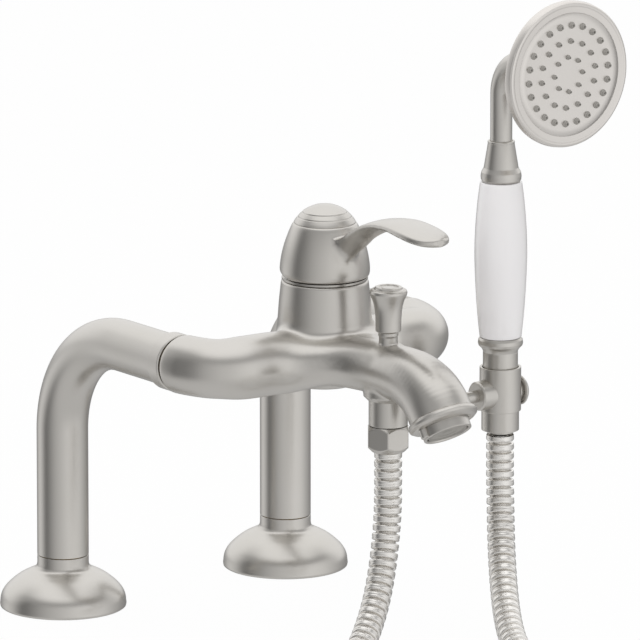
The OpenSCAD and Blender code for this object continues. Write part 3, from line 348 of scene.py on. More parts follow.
def lathe(corners: Outline, radius: float, sides: int = 96) -> Shape:
    """Turns a half outline about Z with its corners rounded."""
    return turned(rounded(corners, radius), sides)


def running(path: np.ndarray) -> np.ndarray:
    """Gives the running length at each point of a line."""
    return np.concatenate([[0], np.cumsum(np.linalg.norm(np.diff(path, axis=0), axis=1))])


def frames_along(path: np.ndarray) -> tuple[np.ndarray, np.ndarray]:
    """Finds directions across a line that turn with it and never twist.

    Args:
        path: Points of the line.

    Returns:
        Side and up direction at each point.
    """
    heading = np.gradient(path, axis=0)
    heading /= np.linalg.norm(heading, axis=1)[:, None]
    side = np.empty_like(path)
    first = np.cross(heading[0], (0.3, 0.9, 0.2))
    side[0] = first / np.linalg.norm(first)
    for i in range(1, len(path)):
        s = side[i - 1] - heading[i] * float(side[i - 1] @ heading[i])
        side[i] = s / np.linalg.norm(s)
    return side, np.cross(heading, side)


def rings(centres: np.ndarray, side: np.ndarray, up: np.ndarray, radii: np.ndarray,
        sides: int) -> np.ndarray:
    """Lays a ring of points round each point of a line.

    Args:
        centres: Points of the line.
        side: Side direction at each of them.
        up: Up direction at each of them.
        radii: Radius of each ring.
        sides: Points round each ring.

    Returns:
        Points of the rings, one ring to a row.
    """
    angles = np.arange(sides) * 2 * math.pi / sides
    spokes = side[:, None] * np.cos(angles)[:, None] + up[:, None] * np.sin(angles)[:, None]
    return centres[:, None] + radii[:, None, None] * spokes


def bands(rows: Iterable[int], sides: int) -> list[tuple[int, ...]]:
    """Gives the quads between each of these rings of points and the ring after it."""
    return [(row * sides + i, row * sides + (i + 1) % sides, (row + 1) * sides + (i + 1) % sides,
        (row + 1) * sides + i) for row in rows for i in range(sides)]


def quarter(bend: float, top: float, steps: int) -> list[tuple[float, float, float]]:
    """Gives the quarter turn of a tube that rises to a height and leaves towards -Y."""
    turns = np.linspace(0, math.pi / 2, steps)
    return [(0, bend * (math.cos(a) - 1), top + bend * (math.sin(a) - 1)) for a in turns]


def swept(path: np.ndarray, radius: float, sides: int = 64) -> Shape:
    """Draws a round tube along a line, with closed ends.

    Args:
        path: Points of the tube's centreline.
        radius: Outer radius.
        sides: Points round each ring.

    Returns:
        The tube.
    """
    laid = rings(path, *frames_along(path), np.full(len(path), radius), sides)
    shape = Shape(laid.reshape(-1, 3), bands(range(len(path) - 1), sides))
    shape.normals = shape.weighted()
    second = sides + 1
    lids = [(sides, (i + 1) % sides, i) for i in range(sides)]
    lids += [(second + i, second + (i + 1) % sides, second + sides) for i in range(sides)]
    return joined(shape, Shape(np.vstack([laid[0], path[:1], laid[-1], path[-1:]]), lids))


def union(a: np.ndarray, b: np.ndarray, blend: float | np.ndarray) -> np.ndarray:
    """Joins two distance fields with a fillet of a width in millimetres."""
    share = np.clip(0.5 + 0.5 * (b - a) / blend, 0, 1)
    return b * (1 - share) + a * share - blend * share * (1 - share)


def segments(points: np.ndarray, line: np.ndarray) -> Iterator[tuple]:
    """Walks the segments of a line.

    Args:
        points: Places to measure.
        line: Points of the line.

    Yields:
        Number and run of a segment, and each place's share along it and offset from it.
    """
    for k, (a, b) in enumerate(zip(line, line[1:])):
        run = b - a
        share = np.clip((points - a) @ run / (run @ run), 0, 1)
        yield k, run, share, points - a - share[:, None] * run


def along(points: np.ndarray, line: np.ndarray, radii: np.ndarray) -> np.ndarray:
    """Measures the distance to a round rod that follows a line.

    Args:
        points: Places to measure.
        line: Points of the rod's centreline.
        radii: Radius of the rod at each of them.

    Returns:
        Signed distance at each place.
    """
    best = np.full(len(points), FAR)
    for k, _, share, off in segments(points, line):
        away = np.linalg.norm(off, axis=1) - radii[k] - share * (radii[k + 1] - radii[k])
        best = np.minimum(best, away)
    return best


def cast(field: Callable[[np.ndarray], np.ndarray], low: Sequence[float], high: Sequence[float],
        cell: float) -> Shape:
    """Skins a distance field with even quads that lie on its surface.

    Args:
        field: Signed distance at each row of an array of places.
        low: Lowest corner of the space to search.
        high: Highest corner.
        cell: Size of a quad.

    Returns:
        The skin, with the field's own normals.
    """
    stride, margin, probe = 4, 1.7, 0.05
    axes = [np.arange(a, b + stride * cell, cell) for a, b in zip(low, high)]
    shape = tuple(len(a) for a in axes)
    # a coarse pass finds the cells near the surface, and only those are measured finely
    coarse_axes = [a[::stride] for a in axes]
    coarse = field(np.stack(np.meshgrid(*coarse_axes, indexing="ij"), -1).reshape(-1, 3))
    coarse = coarse.reshape([len(a) for a in coarse_axes])
    near = [np.minimum(np.rint(np.arange(n) / stride).astype(int), c - 1)
        for n, c in zip(shape, coarse.shape)]
    values = coarse[np.ix_(*near)]
    close = np.argwhere(np.abs(values) < stride * cell * margin)
    values[tuple(close.T)] = field(np.column_stack([axes[k][close[:, k]] for k in range(3)]))
    inside = values < 0
    count = sum(inside[i:shape[0] - 1 + i, j:shape[1] - 1 + j, k:shape[2] - 1 + k].astype(np.int8)
        for i in (0, 1) for j in (0, 1) for k in (0, 1))
    # each cell that the surface crosses holds one point
    cells = np.argwhere((count > 0) & (count < 8))
    number = np.full(count.shape, -1)
    number[tuple(cells.T)] = np.arange(len(cells))
    points = np.column_stack([axes[k][cells[:, k]] + cell / 2 for k in range(3)])
    # each grid edge that the surface crosses gives a quad between the four cells round it
    faces = []
    for k in range(3):
        i, j = (k + 1) % 3, (k + 2) % 3
        edges = np.argwhere(inside != np.roll(inside, -1, axis=k))
        edges = edges[(edges[:, k] < shape[k] - 1) & (edges[:, i] > 0) & (edges[:, j] > 0)
            & (edges[:, i] < shape[i] - 1) & (edges[:, j] < shape[j] - 1)]
        quads = []
        for di, dj in ((1, 1), (0, 1), (0, 0), (1, 0)):
            corner = edges.copy()
            corner[:, i] -= di
            corner[:, j] -= dj
            quads.append(number[tuple(corner.T)])
        quads = np.column_stack(quads)
        flip = ~inside[tuple(edges.T)]
        quads[flip] = quads[flip][:, ::-1]
        faces += [tuple(q) for q in quads.tolist()]
    # the points are drawn onto the surface along the field's slope, and keep it as their normal
    normals = points
    for _ in range(4):
        slope = np.column_stack([(field(points + d) - field(points - d)) / (2 * probe)
            for d in np.eye(3) * probe])
        size = np.maximum((slope ** 2).sum(1), 0.05)
        step = slope * (field(points) / size)[:, None]
        reach = np.linalg.norm(step, axis=1)
        points = points - step * np.minimum(1, cell / np.maximum(reach, 1e-9))[:, None]
        normals = slope / np.sqrt(size)[:, None]
    return Shape(points, faces, normals)


def linked(name: str, data: bpy.types.ID) -> bpy.types.Object:
    """Makes an object of its data and links it to the scene."""
    made = bpy.data.objects.new(name, data)
    bpy.context.scene.collection.objects.link(made)
    return made


def piece(name: str, shape: Shape, *stands_for: str, finish: Finish = SATIN_NICKEL,
        body: str | None = "mixer") -> bpy.types.Object:
    """Args:
        name: Name of the piece.
        shape: Its mesh in millimetres.
        *stands_for: CAD nodes that it replaces.
        finish: Its material, which also says its slot in the record.
        body: CAD body that it rides on, or None for a hose that two bodies share.

    Returns:
        The object.
    """
    mesh = bpy.data.meshes.new(name)
    mesh.from_pydata((shape.points * MM).tolist(), [], shape.faces)
    mesh.shade_smooth()
    normals = shape.weighted() if shape.normals is None else shape.normals
    mesh.normals_split_custom_set_from_vertices(normals.tolist())
    mesh.materials.append(material_of(finish))
    made = linked(name, mesh)
    if body:
        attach(made, body)
    if stands_for:
        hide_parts(*stands_for)
    LOG.info("%s: %d faces on %s", name, len(mesh.polygons), body or "two bodies")
    return made


# Sub-assemblies


MOUTH_TILT = 33.0


def mouth_axis() -> tuple[float, float, float]:
    """Gives the direction in which the spout pours."""
    tilt = math.radians(MOUTH_TILT)
    return 0.0, -math.sin(tilt), -math.cos(tilt)


@dataclass
class Pillar:
    """Swan leg with its bell flange and the ring that couples it to the body."""

    side: int
    x: float = 75.0
    radius: float = 14.0
    run_z: float = 155.5
    bend: float = 57.0
    face: float = 110.9
    ring_radius: float = 15.6
    ring_length: float = 11.4
    neck_top: float = 28.7
    seam: float = 1.3

    def tube(self) -> Shape:
        """Gives the upright, the elbow and the level run."""
        path = [(0, 0, self.neck_top + 0.45), *quarter(self.bend, self.run_z, 33),
            (0, -self.face + 1.2, self.run_z)]
        return swept(np.array(path), self.radius)

    def flange(self) -> Shape:
        """Gives the bell flange, with its hollow underside."""
        bell = [tuple(p) for p in through([(34.4, 1.6), (33.7, 6.3), (31.6, 10.2), (27.8, 14.0),
            (23.5, 17.2), (18.9, 19.6), (15.6, 21.2), (14.2, 23.0)], 5)]
        top = self.neck_top
        under = [(14.0, 24.5), (14.0, top - 0.3), (13.6, top), (12.5, top), (12.5, 16), (26, 10),
            (28.4, 4), (28.4, 0.0)]
        return turned([(28.4, 0), (33.5, 0), (34.2, 0.5)] + bell + under)

    def ring(self) -> Shape:
        """Gives the coupling ring."""
        r, inner, length = self.ring_radius, self.radius - 0.2, self.ring_length - self.seam
        return lathe([(inner, 0), (r - 0.9, 0.1), (r, 1.3), (r, length - 0.7), (r - 0.7, length),
            (inner, length)], 0.6)

    def build(self) -> None:
        """Makes the pillar's pieces."""
        word = "left" if self.side < 0 else "right"
        x = self.side * self.x
        piece(f"{word}_leg_tube", self.tube().placed((x, 0, 0)), f"{word}_leg")
        piece(f"{word}_bell_flange", self.flange().placed((x, 0, 0)), f"{word}_flange")
        ring = self.ring().placed((x, -(self.face - self.ring_length), self.run_z), (0, -1, 0))
        piece(f"{word}_ring", ring, f"{word}_coupling_ring")


@dataclass
class Casting:
    """Cast body: two arms, the valve barrel, the spout and the outlet boss as one skin."""

    valve_y: float = -137.5
    outlet_y: float = -194.0
    face_y: float = -111.3
    run_z: float = 155.5
    arm_radius: float = 16.0
    top_z: float = 197.0
    boss_radius: float = 13.25
    boss_z: float = 141.5
    fillet: float = 5.0
    web: float = 9.0
    crest_z: float = 168.9
    under_z: float = 138.9
    belly_z: float = 137.5
    rise_from: float = 66.0
    cell: float = 1.0

    def arm_line(self) -> np.ndarray:
        """Gives the right arm's centreline, from the coupling to the valve."""
        return through([(75, -108, self.run_z), (74.5, -114, self.run_z), (72.8, -121, self.run_z),
            (69, -129.6, self.run_z), (62.5, -135.6, self.run_z), (54, -138, self.run_z),
            (43.9, -138.2, self.run_z), (24, -137.8, self.run_z), (0, -137.5, self.run_z)], 8)

    def brace_line(self) -> tuple[np.ndarray, np.ndarray]:
        """Gives the right brace, from the arm's crest into the spout: centreline and radii."""
        table = through([(54, -138, 13.6), (41, -140, 13.6), (30.5, -145, 13.4),
            (22.5, -152.5, 12.6), (15.5, -162.5, 11.0), (9.5, -174, 9.4), (4, -188, 8.0)], 9)
        line = np.column_stack([table[:, 0], table[:, 1], self.crest_z - table[:, 2]])
        return line, table[:, 2]

    def spout_line(self) -> tuple[np.ndarray, np.ndarray, np.ndarray]:
        """Gives the spout's centreline with its half widths and half heights."""
        table = through([(0, 156, 16.2, 14.4), (20, 156.3, 16.2, 14.2), (40, 157, 16.2, 14.0),
            (56.5, 157.6, 16.3, 14.1), (69, 157.6, 16.4, 14.6), (80.5, 156.4, 16.6, 15.4),
            (91, 152.6, 16.9, 16.3), (98.6, 146.8, 17.2, 17.0), (104.7, 139.2, 17.3, 17.3)], 5)
        line = np.column_stack([np.zeros(len(table)), self.valve_y - table[:, 0], table[:, 1]])
        return line, table[:, 2], table[:, 3]

    def barrel(self, p: np.ndarray) -> np.ndarray:
        """Measures the distance to the valve barrel."""
        r = np.hypot(p[:, 0], p[:, 1] - self.valve_y)
        heights = [self.belly_z, 141, 146, 152, 160, 168, 173, 178, 185, 197, 200]
        radii = [12.0, 18.5, 23.0, 25.8, 26.8, 26.2, 25.5, 25.1, 24.6, 23.35, 23.2]
        wall = r - np.interp(p[:, 2], heights, radii)
        ends = np.maximum(p[:, 2] - self.top_z, self.belly_z - p[:, 2])
        return -union(-wall, -ends, 2.0)

    def spout(self, p: np.ndarray) -> np.ndarray:
        """Measures the distance to the spout, oval in section."""
        line, wide, high = self.spout_line()
        best = np.full(len(p), FAR)
        for k, run, share, off in segments(p, line):
            w, h = (size[k] + share * (size[k + 1] - size[k]) for size in (wide, high))
            up = np.array([0, -run[2], run[1]]) / np.linalg.norm(run)
            v = off @ up
            rest = off - v[:, None] * up
            best = np.minimum(best, np.sqrt((rest ** 2).sum(1) + (v * w / h) ** 2) - w)
        mouth, axis = line[-1], np.array(mouth_axis())
        return np.maximum(best, (p - mouth) @ axis + 2.2)

    def field(self, p: np.ndarray) -> np.ndarray:
        """Measures the distance to the whole casting."""
        line = self.arm_line()
        mirrored = p.copy()
        mirrored[:, 0] = np.abs(p[:, 0])
        arms = along(mirrored, line, np.full(len(line), self.arm_radius))
        arms = -union(-arms, -(p[:, 1] - self.face_y), 1.6)
        r = np.hypot(p[:, 0], p[:, 1] - self.outlet_y)
        boss = np.maximum(r - self.boss_radius, np.maximum(self.boss_z - p[:, 2], p[:, 2] - 156))
        boss = np.maximum(boss, (r - self.boss_radius + self.boss_z + 2.2 - p[:, 2]) * 0.7071)
        braces = along(mirrored, *self.brace_line())
        body = union(union(arms, self.spout(p), self.web), braces, self.web)
        body = union(body, self.barrel(p), self.fillet)
        rise = 0.8 * np.maximum(self.valve_y - p[:, 1] - self.rise_from, 0)
        body = -union(-body, p[:, 2] - self.under_z + rise, 3.0)
        return union(body, boss, 2.0)

    def build(self) -> None:
        """Makes the casting and the outlet under it."""
        skin = cast(self.field, (-93, -262, 118), (93, -108, 202), self.cell)
        piece("cast_body", skin, "mixer_body")
        outlet = lathe([(0, 127.6), (10.45, 127.6), (10.45, 143), (0, 143)], 0.6)
        piece("outlet_column", outlet.placed((0, self.outlet_y, 0)), "shower_outlet")


@dataclass
class Aerator:
    """Collar, housing and insert at the spout's mouth."""

    origin: tuple[float, float, float] = (0.0, -242.2, 139.2)
    collar_radius: float = 19.15
    housing_radius: float = 13.25
    insert_radius: float = 11.1
    pin_angle: float = 185.0

    def build(self) -> None:
        """Makes the three pieces."""
        axis = mouth_axis()
        r, h, i = self.collar_radius, self.housing_radius, self.insert_radius
        collar = lathe([(13.4, -2.75), (17.3, -2.75), (r - 0.6, -2.0), (r, -0.4), (r - 0.3, 0.9),
            (r - 1.8, 2.0), (h + 2, 2.75), (13.4, 2.75)], 0.8)
        piece("mouth_collar", collar.placed(self.origin, axis), "aerator_collar")
        body = lathe([(i, 0), (h, 0), (h, 8), (i + 0.5, 8), (i + 0.2, 7), (i, 0)], 0.5)
        pin = lathe([(0, 2.6), (2.6, 2.6), (2.6, 7.6), (0, 7.6)], 0.4, 32)
        angle = math.radians(self.pin_angle)
        pin = pin.placed(((h + 0.3) * math.cos(angle), (h + 0.3) * math.sin(angle), 0))
        piece("mouth_housing", joined(body, pin).placed(self.origin, axis), "aerator_housing")
        steps = [(0, 0), (i - 0.1, 0), (i - 0.1, 7.2), (i - 0.9, 7.2), (i - 1.2, 6.7)]
        steps += [(i * k, 6.7 + d) for k, d in ((0.72, 0), (0.7, 0.25), (0.5, 0.25), (0.48, 0),
            (0.28, 0), (0.26, 0.25), (0.1, 0.25), (0, 0.25))]
        piece("mouth_insert", turned(steps).placed(self.origin, axis), "aerator_insert",
            finish=SILICONE)


@dataclass
class Lever:
    """Domed handle with its blade and index cap, over the ring in the seam."""

    valve_y: float = -137.5
    base_z: float = 198.6
    pivot_z: float = 195.5
    lift: float = 12.0
    reach: float = 102.6
    cap_z: float = 228.0
    root: float = 17.0
    skin: float = 0.8
    fillet: float = 11.0
    cell: float = 0.7

    def dome(self, p: np.ndarray) -> np.ndarray:
        """Measures the distance to the dome."""
        r = np.hypot(p[:, 0], p[:, 1] - self.valve_y)
        outline = through([(198.6, 23.2), (200.5, 24.0), (203.8, 24.1), (209.3, 23.4),
            (214.8, 22.1), (220, 20.4), (225.2, 18.3), (228, 16.8), (230, 15.4)], 3)
        slope = np.interp(p[:, 2], [204, 214, 226], [1.0, 0.97, 0.9])
        wall = (r - np.interp(p[:, 2], outline[:, 0], outline[:, 1])) * slope
        ends = np.maximum(p[:, 2] - self.cap_z, self.base_z - p[:, 2])
        back = p[:, 1] - self.valve_y
        lean = math.tan(math.radians(self.lift))
        relief = (self.base_z + back * lean - p[:, 2]) * math.cos(math.radians(self.lift))
        return -union(-wall, -np.maximum(ends, relief), 1.2)

    def blade(self, p: np.ndarray) -> np.ndarray:
        """Measures the distance to the blade: a crowned leaf over a web."""
        stations = through([(self.root, 218.6, 5.2, 0.9, 3.0), (20, 220.6, 6.0, 1.2, 6.4),
            (23.5, 222.9, 6.8, 1.5, 9.2), (28, 225.5, 7.4, 1.6, 10.0), (35, 229.6, 7.8, 1.8, 9.4),
            (42, 232.9, 8.3, 2.2, 7.0), (54, 236.4, 10.0, 2.8, 4.4), (68, 237.9, 11.8, 3.2, 3.3),
            (80, 236.9, 12.7, 3.7, 3.0), (89, 235.6, 12.3, 3.9, 3.0), (95, 234.8, 10.6, 3.7, 2.9),
            (99, 234.5, 8.0, 3.1, 2.6), (101.6, 234.4, 4.6, 2.4, 2.1),
            (self.reach, 234.3, 2.2, 1.9, 1.8)], 4)
        front = self.valve_y - p[:, 1]
        edge, wide, crown, depth = (np.interp(front, stations[:, 0], stations[:, k])
            for k in (1, 2, 3, 4))
        wide, crown, depth = (np.maximum(v - self.skin, 0.15) for v in (wide, crown, depth))
        v = p[:, 2] - edge
        h = np.where(v > 0, crown, depth)
        n = np.where(v > 0, 2.0, np.interp(front, [45, 75], [1.45, 2.0]))
        across, over = np.abs(p[:, 0]) / wide + 1e-9, np.abs(v) / h + 1e-9
        q = (across ** n + over ** n) ** (1 / n)
        slope = np.hypot(across ** (n - 1) / wide, over ** (n - 1) / h) * q ** (1 - n) + 1e-6
        beside = np.maximum(np.abs(p[:, 0]) - wide, np.abs(v) - h)
        leaf = np.maximum((q - 1) / slope, beside) - self.skin
        return np.maximum(leaf, np.maximum(front - self.reach, self.root - front))

    def field(self, p: np.ndarray) -> np.ndarray:
        """Measures the distance to the handle."""
        growing = np.interp(self.valve_y - p[:, 1], [16, 22, 32], [3.0, 6.0, self.fillet])
        return union(self.dome(p), self.blade(p), growing)

    def build(self) -> None:
        """Makes the handle, the cap and the ring in the seam."""
        y = self.valve_y
        skin = cast(self.field, (-27, y - self.reach - 3, 194), (27, y + 27, 244), self.cell)
        piece("handle", skin, "lever_handle", body="lever")
        cap = lathe([(0, 227.6), (16.4, 227.6), (16.55, 228.3), (15.9, 229.4), (14.75, 230.85),
            (14.35, 230.95), (14.15, 231.55), (13.3, 232.45), (12.35, 233.35), (12.0, 233.35),
            (11.75, 233.95), (10.1, 235.0), (8.0, 236.1), (5.6, 237.0), (3.0, 237.55), (0, 237.75)],
            0.35)
        piece("cap", cap.placed((0, y, 0)), "index_cap", body="lever")
        zone = [(math.sqrt(20.5 ** 2 - (z - self.pivot_z) ** 2), z)
            for z in np.linspace(198.4, 203.6, 10)]
        ring = turned([(8.8, 197.1), (23.0, 197.1), (23.1, 197.3), (23.1, 198.2), (22.9, 198.4)]
            + zone + [(8.8, 203.6)])
        piece("seam_ring", ring.placed((0, y, 0)), "cover_ring", finish=STAINLESS)


@dataclass
class Diverter:
    """Pull-up knob and the bush that it slides in."""

    y: float = -194.0

    def build(self) -> None:
        """Makes the knob and the bush."""
        knob = lathe([(0, 178.6), (6.5, 178.6), (6.85, 179.2), (6.85, 182), (6.95, 186),
            (7.25, 190), (7.75, 193), (8.6, 195.8), (9.75, 198.2), (10.15, 199.7), (9.85, 200.9),
            (9.0, 201.5), (7.6, 201.8), (7.3, 202.6), (6.7, 202.95), (5.5, 202.8), (5.1, 202.3),
            (3.7, 202.2), (3.3, 202.5), (0, 202.6)], 0.5)
        piece("pull_knob", knob.placed((0, self.y, 0)), "diverter_knob", body="diverter")
        bush = lathe([(0, 166), (5.9, 166), (5.8, 170.6), (5.0, 172.6), (5.0, 175.6), (5.35, 176.6),
            (5.35, 178.4), (0, 178.4)], 0.5)
        piece("knob_bush", bush.placed((0, self.y, 0)), "diverter_bush")


@dataclass
class HoseNut:
    """Hexagon nut that holds the hose to the outlet."""

    y: float = -194.0
    low: float = 113.4
    high: float = 127.4
    flats: float = 21.5
    turn: float = -6.6

    def build(self) -> None:
        """Makes the nut, its corners cut by a cone at each end."""
        levels = np.linspace(self.low, self.high, 40)
        angles = np.radians(np.arange(0, 360, 2.5))
        swing = (angles - math.radians(self.turn)) % (math.pi / 3) - math.pi / 6
        points = []
        for z in levels:
            cone = min(8.9 + (z - self.low), 10.5 + (self.high - z) * 0.85)
            r = np.minimum(self.flats / 2 / np.cos(swing), cone)
            points.append(np.column_stack([r * np.cos(angles), r * np.sin(angles),
                np.full(len(r), z)]))
        sides = Shape(np.vstack(points), bands(range(len(levels) - 1), len(angles)))
        ends = turned([(5.4, self.low + 0.3), (8.2, self.low), (8.9, self.low)])
        top = turned([(10.5, self.high), (8.0, self.high)])
        piece("outlet_nut", joined(sides, ends, top).placed((0, self.y, 0)), "hose_nut")


@dataclass
class Cradle:
    """Bar, tilting sleeve and end cap that hold the handset."""

    x: float = 75.0
    y: float = -194.0
    bar_z: float = 134.6
    sleeve_radius: float = 11.15
    boss_radius: float = 7.9

    def build(self) -> None:
        """Makes the bar, the sleeve with its boss, and the cap."""
        pivot, across = (0, self.y, self.bar_z), (1, 0, 0)
        bar = lathe([(0, 9.5), (3.2, 9.5), (3.2, 63.3), (0, 63.3)], 0.4, 48)
        piece("bar", bar.placed(pivot, across), "cradle_bar")
        r, b = self.sleeve_radius, self.boss_radius
        sleeve = lathe([(7.9, 114.3), (10.1, 114.3), (10.1, 125.2), (r, 125.2), (r, 149.1),
            (9.8, 149.1), (9.8, 134), (7.9, 119)], 0.35)
        boss = lathe([(3.25, 58.7), (b - 0.9, 58.7), (b - 0.1, 59.6), (b, 61.5), (b + 0.3, 66),
            (b + 0.3, 70), (0, 70)], 0.7, 64)
        seat = turned([(0, 82), (b - 1.5, 82), (b - 1.5, 86.5), (0, 86.5)], 64)
        shape = joined(sleeve.placed((self.x, self.y, 0)), boss.placed(pivot, across),
            seat.placed(pivot, across))
        piece("sleeve", shape, "cradle_sleeve", body="cradle")
        cap = lathe([(0, 0), (b - 0.3, 0), (b + 0.4, 0.4), (b + 0.4, 1.1), (b - 0.8, 2.3),
            (b - 2.6, 3.2), (b - 4.8, 3.7), (0, 3.9)], 0.5, 64)
        piece("end_cap", cap.placed((self.x + r + 0.5, self.y, self.bar_z), across), "cradle_cap",
            body="cradle")


@dataclass
class Handset:
    """Porcelain grip between two ferrules, the swan neck and the spray head."""

    x: float = 75.0
    y: float = -194.0
    grip_low: float = 165.4
    grip_high: float = 250.4
    tube_radius: float = 5.9
    bend: float = 20.0
    head_z: float = 318.0
    head_y: float = -253.0
    head_radius: float = 39.3
    plate_radius: float = 33.0

    def grip(self) -> Shape:
        """Gives the barrel-shaped porcelain grip."""
        low, high = self.grip_low, self.grip_high
        curve = through([(11.25, low + 0.5), (11.95, low + 7), (12.75, low + 16), (13.45, low + 27),
            (13.95, low + 38), (14.1, low + 46.6), (13.85, low + 57), (13.2, low + 67),
            (12.35, low + 76), (11.25, high - 0.5)], 5)
        return turned([(0, low), (10.9, low)] + [tuple(p) for p in curve]
            + [(10.9, high), (0, high)])

    def neck(self) -> Shape:
        """Gives the swan neck tube."""
        path = [(0, 0, 266), *quarter(self.bend, self.head_z, 25),
            (0, self.head_y + 12 - self.y, self.head_z)]
        return swept(np.array(path), self.tube_radius, 48)

    def head(self) -> Shape:
        """Gives the head's shell, its axis out of the spray face."""
        r = self.head_radius
        return lathe([(6.1, -18), (8.4, -18), (8.5, -12.6), (12.6, -11.2), (r * 0.62, -9.4),
            (r * 0.86, -6.9), (r * 0.965, -6.2), (r - 0.15, -5.0), (r, -3.4), (r - 0.3, -1.2),
            (r - 1.0, -0.3), (r - 1.8, 0), (r - 2.5, -0.1), (r - 3.0, -0.32),
            (self.plate_radius + 0.03, -0.56), (self.plate_radius + 0.03, -3)], 0.3, 128)

    def nozzles(self) -> Shape:
        """Gives the rubber nozzles of the three circles."""
        shapes = [turned([(0, -3.6), (30, -3.6), (30, -2.4), (0, -2.4)])]
        # how many nozzles, the radius of their circle, their base and the turn of the first
        circles = ((22, 26.4, 1.85, 4), (14, 17.9, 1.5, 8), (8, 9.3, 1.3, 2))
        for count, radius, base, turn in circles:
            nub = lathe([(0, -1.2), (base, -1.2), (base, -0.5), (base * 0.8, -0.2),
                (base * 0.55, 1.0), (base * 0.34, 1.0), (base * 0.3, 0.2), (0, 0.2)], 0.15, 20)
            for k in range(count):
                a = math.radians(turn + 360 * k / count)
                shapes.append(nub.placed((radius * math.cos(a), radius * math.sin(a), 0)))
        return joined(*shapes)

    def build(self) -> None:
        """Makes the handset's pieces."""
        at = (self.x, self.y, 0)
        lower = lathe([(0, 145.2), (9.4, 145.2), (9.4, 156.9), (9.25, 157.3), (9.4, 157.7),
            (9.7, 158.5), (10.5, 159.7), (11.75, 160.9), (12.1, 162.2), (11.9, 164.0),
            (11.2, 165.3), (0, 165.3)], 0.6)
        piece("grip_collar", lower.placed(at), "lower_ferrule", body="handset")
        piece("grip", self.grip().placed(at), "porcelain_handle", finish=PORCELAIN, body="handset")
        upper = lathe([(0, 250.5), (10.1, 250.5), (10.8, 251.6), (10.95, 253.6), (10.6, 255.6),
            (9.7, 257.2), (9.3, 258.0), (9.2, 258.6), (7.15, 271.2), (7.3, 271.7), (7.15, 272.6),
            (6.0, 272.6), (6.0, 262), (0, 262)], 0.5)
        piece("neck_ferrule", upper.placed(at), "upper_ferrule", body="handset")
        piece("neck", self.neck().placed(at), "neck_tube", body="handset")
        centre, out = (self.x, self.head_y, self.head_z), (0, -1, 0)
        # the shell and the plate wear the satin nickel painted a shade whiter: painted light, not a
        # different finish
        piece("spray_shell", self.head().placed(centre, out), "head_shell", finish=NICKEL_PAINTED_WHITER,
            body="handset")
        plate = turned([(0, -3.1), (self.plate_radius, -3.1), (self.plate_radius, -0.57),
            (self.plate_radius - 4, -0.8), (self.plate_radius - 9, -1.0), (0, -1.05)], 128)
        piece("spray_plate", plate.placed(centre, out), "face_plate", finish=NICKEL_PAINTED_WHITER,
            body="handset")
        piece("spray_nozzles", self.nozzles().placed(centre, out), "nozzle_mat", finish=SILICONE,
            body="handset")


